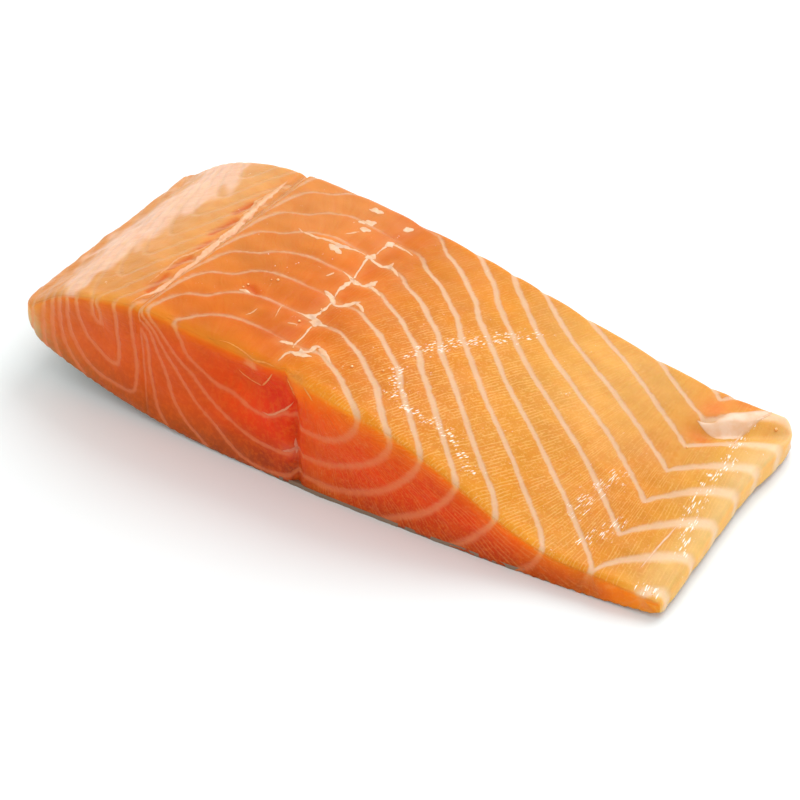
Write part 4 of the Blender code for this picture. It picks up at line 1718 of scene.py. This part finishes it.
# Where white tissue gathers at the spine: knots with arms, and the strands between them.
SPINE_TISSUE = (
    Ribbon(((64.5, 5.2), (65.8, 6.3), (67.4, 6.5)), (0.15, 0.75, 0.5)),
    Ribbon(((67.5, 6.0), (67.4, 9.1), (67.3, 11.6), (66.9, 14.6)), (0.30, 0.20, 0.20, 0.4)),
    Ribbon(((67.9, -0.4), (68.0, 1.9), (68.5, 4.2)), (0.20, 0.25, 0.6), tone=0.6),
    Ribbon(((68.0, 3.6), (69.5, 3.9), (71.2, 4.2), (73.3, 4.9)), (0.5, 0.9, 0.7, 0.25)),
    Ribbon(((69.2, 6.5), (70.5, 5.2), (71.6, 6.3), (72.0, 8.6), (73.0, 8.8)),
           (0.2, 0.6, 0.4, 0.65, 0.4)),
    Ribbon(((72.6, 8.6), (74.0, 7.8), (75.5, 7.0), (77.5, 5.6)), (0.8, 0.6, 0.4, 0.25), tone=0.7),
    Ribbon(((61.4, 16.1), (63.5, 16.7), (65.6, 17.3)), (0.10, 0.45, 1.0)),
    Ribbon(((65.0, 16.8), (65.6, 18.8), (65.9, 20.2)), (0.9, 0.45, 0.18)),
    Ribbon(((65.0, 17.6), (66.6, 16.4), (67.4, 14.4)), (0.8, 1.05, 0.7)),
    Ribbon(((66.6, 16.5), (68.2, 16.1), (70.2, 16.1)), (0.8, 0.5, 0.08)),
    Ribbon(((65.5, 19.6), (65.9, 21.3), (65.8, 23.1), (65.7, 24.8)), (0.20, 0.40, 0.15, 0.3)),
    Ribbon(((62.0, 27.1), (64.0, 26.4), (65.4, 25.4), (66.2, 23.9)), (0.25, 0.8, 0.65, 0.5)),
    Ribbon(((65.9, 24.1), (67.6, 24.3), (68.8, 25.6), (69.8, 27.0), (71.0, 28.4)),
           (0.45, 0.6, 0.65, 0.6, 0.15)),
    Ribbon(((69.9, 27.6), (71.5, 26.8), (73.4, 25.3)), (0.6, 0.45, 0.25), tone=0.7),
    Ribbon(((65.2, 26.0), (64.4, 29.9), (64.6, 32.0), (64.8, 34.2)), (0.14, 0.20, 0.5, 0.5)),
    Ribbon(((61.4, 35.7), (63.2, 35.4), (64.9, 34.8)), (0.20, 0.45, 0.7)),
    Ribbon(((64.0, 34.3), (65.4, 34.8), (67.0, 34.4)), (0.7, 1.1, 0.6)),
    Ribbon(((66.6, 34.2), (68.0, 35.0), (68.7, 36.2), (69.3, 38.1)), (0.45, 0.6, 0.85, 0.25)),
    Ribbon(((68.3, 35.3), (70.8, 34.5), (73.0, 33.2)), (0.5, 0.5, 0.25), tone=0.7),
    Ribbon(((64.4, 35.2), (63.7, 39.4), (63.3, 42.1), (63.1, 44.2)), (0.30, 0.16, 0.22, 0.4)),
    Ribbon(((62.5, 43.2), (63.2, 44.7), (63.2, 47.0)), (0.4, 0.95, 0.3)),
    Ribbon(((63.2, 44.3), (65.2, 43.8), (67.0, 43.9), (68.2, 45.0), (68.3, 46.6)),
           (0.5, 0.5, 0.6, 0.75, 0.2)),
    Ribbon(((68.0, 45.0), (70.0, 43.9), (72.0, 42.4)), (0.6, 0.45, 0.25), tone=0.7),
    Ribbon(((44.0, 43.9), (47.1, 42.8), (49.8, 42.8), (52.6, 43.4), (55.4, 43.4), (57.8, 43.8),
            (60.1, 44.3), (62.9, 44.3)), (0.12, 0.4, 0.4, 0.35, 0.55, 0.45, 0.3, 0.35), tone=0.8),
    Ribbon(((53.4, 42.4), (55.5, 41.7), (58.0, 40.9)), (0.3, 1.2, 0.25)),
    Ribbon(((55.3, 42.1), (56.6, 43.6), (58.1, 44.3)), (0.7, 0.6, 0.25)),
    Ribbon(((63.5, 46.6), (63.5, 48.9), (63.7, 51.3)), (0.18, 0.13, 0.3), tone=0.8),
    Ribbon(((63.4, 50.6), (63.9, 52.3), (64.5, 53.4)), (0.3, 0.9, 0.4), tone=0.9),
    Ribbon(((64.2, 52.6), (65.8, 53.0), (67.7, 52.8), (70.3, 51.9)), (0.4, 0.35, 0.35, 0.25),
           tone=0.6),
    Ribbon(((53.8, 54.3), (55.6, 55.6), (57.4, 57.2)), (0.6, 1.3, 0.5)),
    Ribbon(((55.4, 52.4), (57.0, 53.0), (58.2, 53.4)), (0.5, 0.9, 0.3)),
    Ribbon(((53.2, 60.1), (55.1, 60.8), (57.0, 61.0)), (0.3, 1.1, 0.3)),
    Ribbon(((63.5, 58.4), (64.4, 59.8), (65.1, 61.0)), (0.35, 0.8, 0.3), tone=0.9),
    Ribbon(((54.1, 48.2), (55.1, 49.7), (56.3, 51.4)), (0.12, 0.32, 0.12), 0.1, 0.4),
    Ribbon(((59.5, 31.5), (60.0, 32.6), (60.4, 34.1)), (0.10, 0.32, 0.12), 0.1, 0.5),
    Ribbon(((59.2, 11.8), (58.4, 14.9), (58.1, 17.3)), (0.09, 0.13, 0.09), 0.08, 0.2),
    Ribbon(((62.2, 11.8), (63.3, 12.3), (64.6, 12.7)), (0.10, 0.24, 0.10), 0.08, 0.4),
    Ribbon(((53.5, 8.4), (54.3, 10.2), (54.6, 12.2)), (0.08, 0.18, 0.08), 0.08, 0.3),
    Ribbon(((47.4, 15.2), (48.8, 15.6), (50.2, 15.9)), (0.2, 0.5, 0.12), 0.14, 0.9),
    Ribbon(((152.9, 22.4), (152.6, 17.7), (152.1, 12.5), (151.8, 5.6)),
           (0.08, 0.20, 0.22, 0.08), 0.1, 1.0),
    Ribbon(((152.2, 51.0), (152.0, 55.4), (153.4, 60.0), (155.6, 63.6)),
           (0.08, 0.3, 0.36, 0.14), 0.12, 1.0))
# Pale strands along the seam of the back.
SEAM_TISSUE = (
    Ribbon(((30.2, -1.8), (30.6, 0.2), (31.6, 2.8), (32.5, 5.8), (32.8, 10.0), (32.6, 14.1),
            (32.8, 17.6), (32.6, 22.9), (32.3, 27.8), (32.4, 32.1), (32.1, 37.2), (31.7, 42.8),
            (31.0, 48.3), (31.1, 54.1), (31.0, 60.5)),
           (0.25, 0.4, 0.6, 0.35, 0.45, 0.4, 0.7, 0.5, 0.6, 0.65, 0.8, 0.6, 0.8, 0.6, 0.2),
           0.11, 0.4),
    Ribbon(((29.0, 6.0), (29.4, 10.0), (29.0, 14.7), (29.2, 19.0), (30.6, 21.8), (31.3, 25.8),
            (31.8, 29.4)), (0.1, 0.2, 0.2, 0.25, 0.35, 0.3, 0.15), 0.08, 0.1),
    Ribbon(((30.4, 40.0), (30.6, 44.4), (29.9, 48.2), (30.3, 51.0)), (0.1, 0.25, 0.4, 0.2),
           0.08, 0.15))
# Marks of tissue on the front cut.
CUT_TISSUE = (
    Ribbon(((58.7, 25.7), (60.0, 24.3), (62.0, 23.3), (64.3, 22.9)), (0.10, 0.18, 0.14, 0.2), 0.11,
           0.3, True),
    Ribbon(((64.3, 22.9), (66.0, 25.2), (67.8, 28.3)), (0.2, 0.15, 0.12), 0.11, 0.3, True),
    Ribbon(((64.3, 16.5), (66.9, 16.8), (69.0, 18.3), (71.2, 20.3), (72.9, 22.6)),
           (0.1, 0.24, 0.2, 0.24, 0.1), 0.11, 0.8, True),
    Ribbon(((70.2, 8.7), (72.2, 9.5), (74.2, 10.7)), (0.15, 0.4, 0.15), 0.12, 1.0, True),
    Ribbon(((73.2, 8.4), (73.2, 10.6), (73.3, 13.2)), (0.2, 0.28, 0.1), 0.11, 1.0, True),
    Ribbon(((53.0, -1.6), (56.0, -1.2), (60.3, -1.6), (63.1, -2.0), (66.0, -1.6), (68.6, -1.7)),
           (0.06, 0.12, 0.16, 0.10, 0.16, 0.06), 0.08, 0.0),
    Ribbon(((71.3, 28.4), (71.8, 27.4), (73.0, 25.6), (73.5, 24.6)), (0.10, 0.20, 0.20, 0.10), 0.10,
           0.0, True),
    Ribbon(((76.0, 28.6), (77.4, 27.6), (78.8, 26.2)), (0.10, 0.24, 0.10), 0.11, 0.0, True))
# The leaf of clear tissue folded over the crease at the belly.
BELLY_LEAF = (
    Ribbon(((142.7, 52.5), (144.6, 52.6), (146.8, 53.1), (149.2, 55.3), (150.7, 57.9),
            (152.2, 60.4), (153.8, 63.1), (155.5, 65.1)),
           (0.05, 1.3, 2.5, 3.3, 3.0, 2.1, 1.3, 0.2), 0.16, 0.8),)


@dataclass(frozen=True)
class Drops:
    """Beads of moisture on the top, in one piece.

    Attributes:
        drape: Finds the surface that they lie on.
        placed: The beads that stand out, as (across, along, radius).
        count: How many fine ones are scattered along the rows of glints.
        fine: Smallest and largest radius of those.
        spread: How far from a row they lie.
        sunk: How far a bead is sunk, as a share of its radius.
    """

    drape: Drape
    placed: tuple = ((48.1, 17.8, 0.26), (47.8, 16.4, 0.20), (52.4, 23.2, 0.30),
                     (51.2, 22.4, 0.18), (64.1, 13.8, 0.28), (81.4, 7.6, 0.28),
                     (79.9, 6.4, 0.16), (86.9, 11.3, 0.24), (65.4, 20.6, 0.22),
                     (68.0, 5.5, 0.18), (158.0, 61.2, 0.40), (144.4, 43.8, 0.22),
                     (34.0, 6.2, 0.20))
    count: int = 90
    fine: tuple = (0.06, 0.14)
    spread: float = 2.2
    sunk: float = 0.25

    def build(self, name: str) -> Piece:
        """Make the beads, as one piece of this name."""
        draw = np.random.default_rng(5)
        spots = [*self.placed, *self._scattered(draw)]
        across, along, radii = np.array(spots).T
        surface, facing = self.drape.points(across, along, False)
        bpy.ops.object.select_all(action='DESELECT')
        bpy.ops.mesh.primitive_ico_sphere_add(subdivisions=2, radius=1, location=(0, 0, 0))
        first = bpy.context.object
        beads = [first]
        for _ in spots[1:]:
            copy = first.copy()
            copy.data = first.data.copy()
            bpy.context.collection.objects.link(copy)
            beads.append(copy)
        for bead, point, normal, radius in zip(beads, surface, facing, radii):
            ball = points_of(bead)
            stretch_out = 1 + 0.3 * draw.random(3)
            middle = point + normal * radius * (1 - 2 * self.sunk) * MM
            place_points(bead, middle + ball * stretch_out * radius * MM * (1, 1, 0.8))
        return join_all(name, beads)

    def _scattered(self, draw: np.random.Generator) -> list[tuple[float, float, float]]:
        """Choose places and sizes for the fine beads."""
        spots = []
        for _ in range(self.count):
            row = GLINT_ROWS[int(draw.integers(len(GLINT_ROWS)))]
            leg = int(draw.integers(len(row) - 1))
            share = draw.random()
            across = mix(row[leg][0], row[leg + 1][0], share) + draw.normal() * self.spread / 2
            along = mix(row[leg][1], row[leg + 1][1], share) + draw.normal() * self.spread / 2
            spots.append((min(across, 158.0), max(along, 1.0), draw.uniform(*self.fine)))
        return spots


@dataclass(frozen=True)
class TissueFinish:
    """Moist white tissue, thinner and warmer at its edges.

    Attributes:
        thin, thick: Screen colours of peach and of pinkish white tissue.
        edge: Screen colour of the flesh that shows through the edges.
        clear: How much of the flesh shows through all over.
        coat: Weight and roughness of the wet coat.
        relief: Depth of the fine unevenness, in metres.
        cloud: How fine the cloudiness is, per metre.
        cloudy: How much more of the flesh shows through where the tissue is cloudy.
        rough: Roughness where it is dry and where it is wet.
        scatter: How much light goes in, how far it goes and its colours.
    """

    name: str = "white_tissue"
    thin: Colour = (230, 156, 92)
    thick: Colour = (238, 190, 150)
    edge: Colour = (222, 128, 48)
    clear: float = 0.0
    coat: tuple = (0.2, 0.2)
    relief: float = 0.00008
    cloud: float = 700.0
    cloudy: float = 0.35
    rough: tuple = (0.45, 0.30)
    scatter: tuple = (0.25, 0.002, (1.0, 0.5, 0.3))

    def build(self, effects: Effects) -> bpy.types.Material:
        """Make the material."""
        material, graph, surface = new_finish(self.name)
        place = graph.place()
        film = graph.use(effects.film, Place=place, Flake=0.0, Weave=0.0, Amount=-1.0)
        white = graph.blend(graph.stored("tone"), linear(self.thin), linear(self.thick))
        cloud = graph.step(graph.noise(place, self.cloud, 3.0, 0.6), 0.35, 0.7)
        white = graph.blend(graph.times(cloud, self.cloudy + self.clear), white,
                            linear(self.edge))
        share = graph.step(graph.stored("rim"), 0.0, 0.9, 0.0, 1.0 - self.clear)
        colour = graph.blend(share, linear(self.edge), white)
        weight, radius, colours = self.scatter
        coat, coat_roughness = self.coat
        graph.fill(surface, Base_Color=colour,
                   Roughness=graph.step(film.outputs["Wet"], 0, 1, *self.rough),
                   Subsurface_Weight=weight, Subsurface_Scale=radius, Subsurface_Radius=colours,
                   Coat_Weight=coat, Coat_Roughness=coat_roughness,
                   Normal=graph.relief(film.outputs["Height"], self.relief))
        return material


@dataclass(frozen=True)
class DropFinish:
    """Beads of water on the flesh, with pale patches painted on them as highlights.

    Attributes:
        tint: Screen colour of the clearer water, paler than the flesh below as a painted highlight.
        cloudy: Screen colour of the pale patches, a painted highlight.
        fineness: How fine those patches are, per metre.
        rough: Roughness of the beads.
        coat: Weight and roughness of their gloss.
    """

    tint: Colour = (248, 178, 98)
    cloudy: Colour = (255, 214, 160)
    fineness: float = 1500
    rough: float = 0.06
    coat: tuple = (0.8, 0.04)

    def build(self) -> bpy.types.Material:
        """Make the material."""
        material, graph, surface = new_finish("clear_drops")
        # Painted highlight: pale patches on each bead.
        cloud = graph.step(graph.noise(graph.place(), self.fineness, 2.0, 0.5), 0.4, 0.7)
        weight, roughness = self.coat
        graph.fill(surface, Base_Color=graph.blend(cloud, linear(self.tint), linear(self.cloudy)),
                   Roughness=self.rough, Coat_Weight=weight, Coat_Roughness=roughness)
        return material


@dataclass(frozen=True)
class Studio:
    """A plain pale floor, soft light and the photograph's camera.

    Attributes:
        camera: Its place, in metres, and the direction it looks in.
        lens: Focal length for a 36 mm wide sensor.
        key: Direction to the main light, its distance, size and power.
        sky: Strength of the even white light.
        floor, near: Screen colours of the floor far from the fillet and near it, where it
            makes up for the warm light that the fillet throws on it.
        blend: Distances from the origin where that starts and where it is whole, in metres.
        rough: Roughness of the floor.
    """

    camera: tuple = ((0.20023, -0.33266, 0.31718), (-0.40026, 0.66614, -0.62932))
    lens: float = 99.0
    key: tuple = ((0.08, 0.64, 0.76), 0.9, 0.7, 4.4)
    sky: float = 0.93
    floor: Colour = (247, 247, 247)
    near: Colour = (243, 249, 249)
    blend: tuple = (0.20, 0.08)
    rough: float = 0.55

    def build(self) -> None:
        """Set up the camera, lights and floor."""
        place, heading = Vector(self.camera[0]), Vector(self.camera[1])
        bpy.ops.object.select_all(action='DESELECT')
        bpy.ops.object.camera_add(location=place,
                                  rotation=heading.to_track_quat('-Z', 'Y').to_euler())
        camera = bpy.context.object
        camera.name = "photo_camera"
        camera.data.lens = self.lens
        camera.data.sensor_width = 36
        camera.data.clip_start = 0.01
        camera.data.dof.use_dof = False
        bpy.context.scene.camera = camera
        towards, distance, size, power = self.key
        bpy.ops.object.light_add(type='AREA', location=Vector(towards).normalized() * distance,
                                 rotation=(-Vector(towards)).to_track_quat('-Z', 'Y').to_euler())
        lamp = bpy.context.object
        lamp.name = "key_light"
        lamp.data.size = size
        lamp.data.energy = power
        world = bpy.data.worlds.new("white_room")
        world.use_nodes = True
        background = world.node_tree.nodes["Background"]
        background.inputs["Color"].default_value = (1, 1, 1, 1)
        background.inputs["Strength"].default_value = self.sky
        bpy.context.scene.world = world
        bpy.ops.mesh.primitive_plane_add(size=3, location=(0, 0, 0))
        floor = bpy.context.object
        floor.name = "floor"
        material, graph, surface = new_finish("pale_floor")
        away = graph.add("ShaderNodeVectorMath", operation='LENGTH')
        graph.feed(away.inputs[0], graph.place())
        close = graph.step(away.outputs["Value"], *self.blend)
        graph.fill(surface, Base_Color=graph.blend(close, linear(self.floor), linear(self.near)),
                   Roughness=self.rough)
        dress(floor, material)
        bpy.context.scene.view_settings.view_transform = 'Standard'


def main() -> None:
    """Build the fillet's looks and the studio."""
    logging.basicConfig(level=logging.INFO, format="%(name)s: %(message)s")
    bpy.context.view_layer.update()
    form, flakes = FilletForm(), Flakes()
    effects = Effects(TissueLines().build(), FibreGrain().build(), MoistFilm().build())
    flesh = Flesh(form, flakes, flakes.fields()).build()
    dress(flesh, FleshFinish().build(effects))
    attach(flesh, "root")
    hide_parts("flesh")
    skin = Skin(form).build()
    dress(skin, SkinFinish().build())
    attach(skin, "root")
    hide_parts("skin")
    drape = Drape(form, flesh)
    strands = Strands(drape, (*SPINE_TISSUE, *SEAM_TISSUE)).build("white_strands")
    dress(strands, TissueFinish().build(effects))
    marks = Strands(drape, CUT_TISSUE, ragged=(0.25, 1.2), dimples=0.01).build("cut_strands")
    dress(marks, TissueFinish("cut_tissue", thin=(242, 150, 44), thick=(222, 124, 88),
                              edge=(220, 84, 18)).build(effects))
    leaf = Strands(drape, BELLY_LEAF, cells_across=24, ragged=(0.06, 6.0), blunt=40.0,
                   broad=1.0, dimples=0.0).build("belly_leaf")
    dress(leaf, TissueFinish("clear_leaf", thin=(234, 192, 158), thick=(236, 196, 166),
                             edge=(220, 146, 66), clear=0.10, coat=(0.5, 0.12), relief=0.00003,
                             cloud=240.0).build(effects))
    drops = Drops(drape).build("moisture_beads")
    dress(drops, DropFinish().build())
    for piece in (strands, marks, leaf, drops):
        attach(piece, "root")
    Studio().build()
    for piece in (flesh, skin, strands, marks, leaf, drops):
        LOG.info("%s: %d vertices, %d faces", piece.name, len(piece.data.vertices),
                 len(piece.data.polygons))


if __name__ == "__main__":
    main()
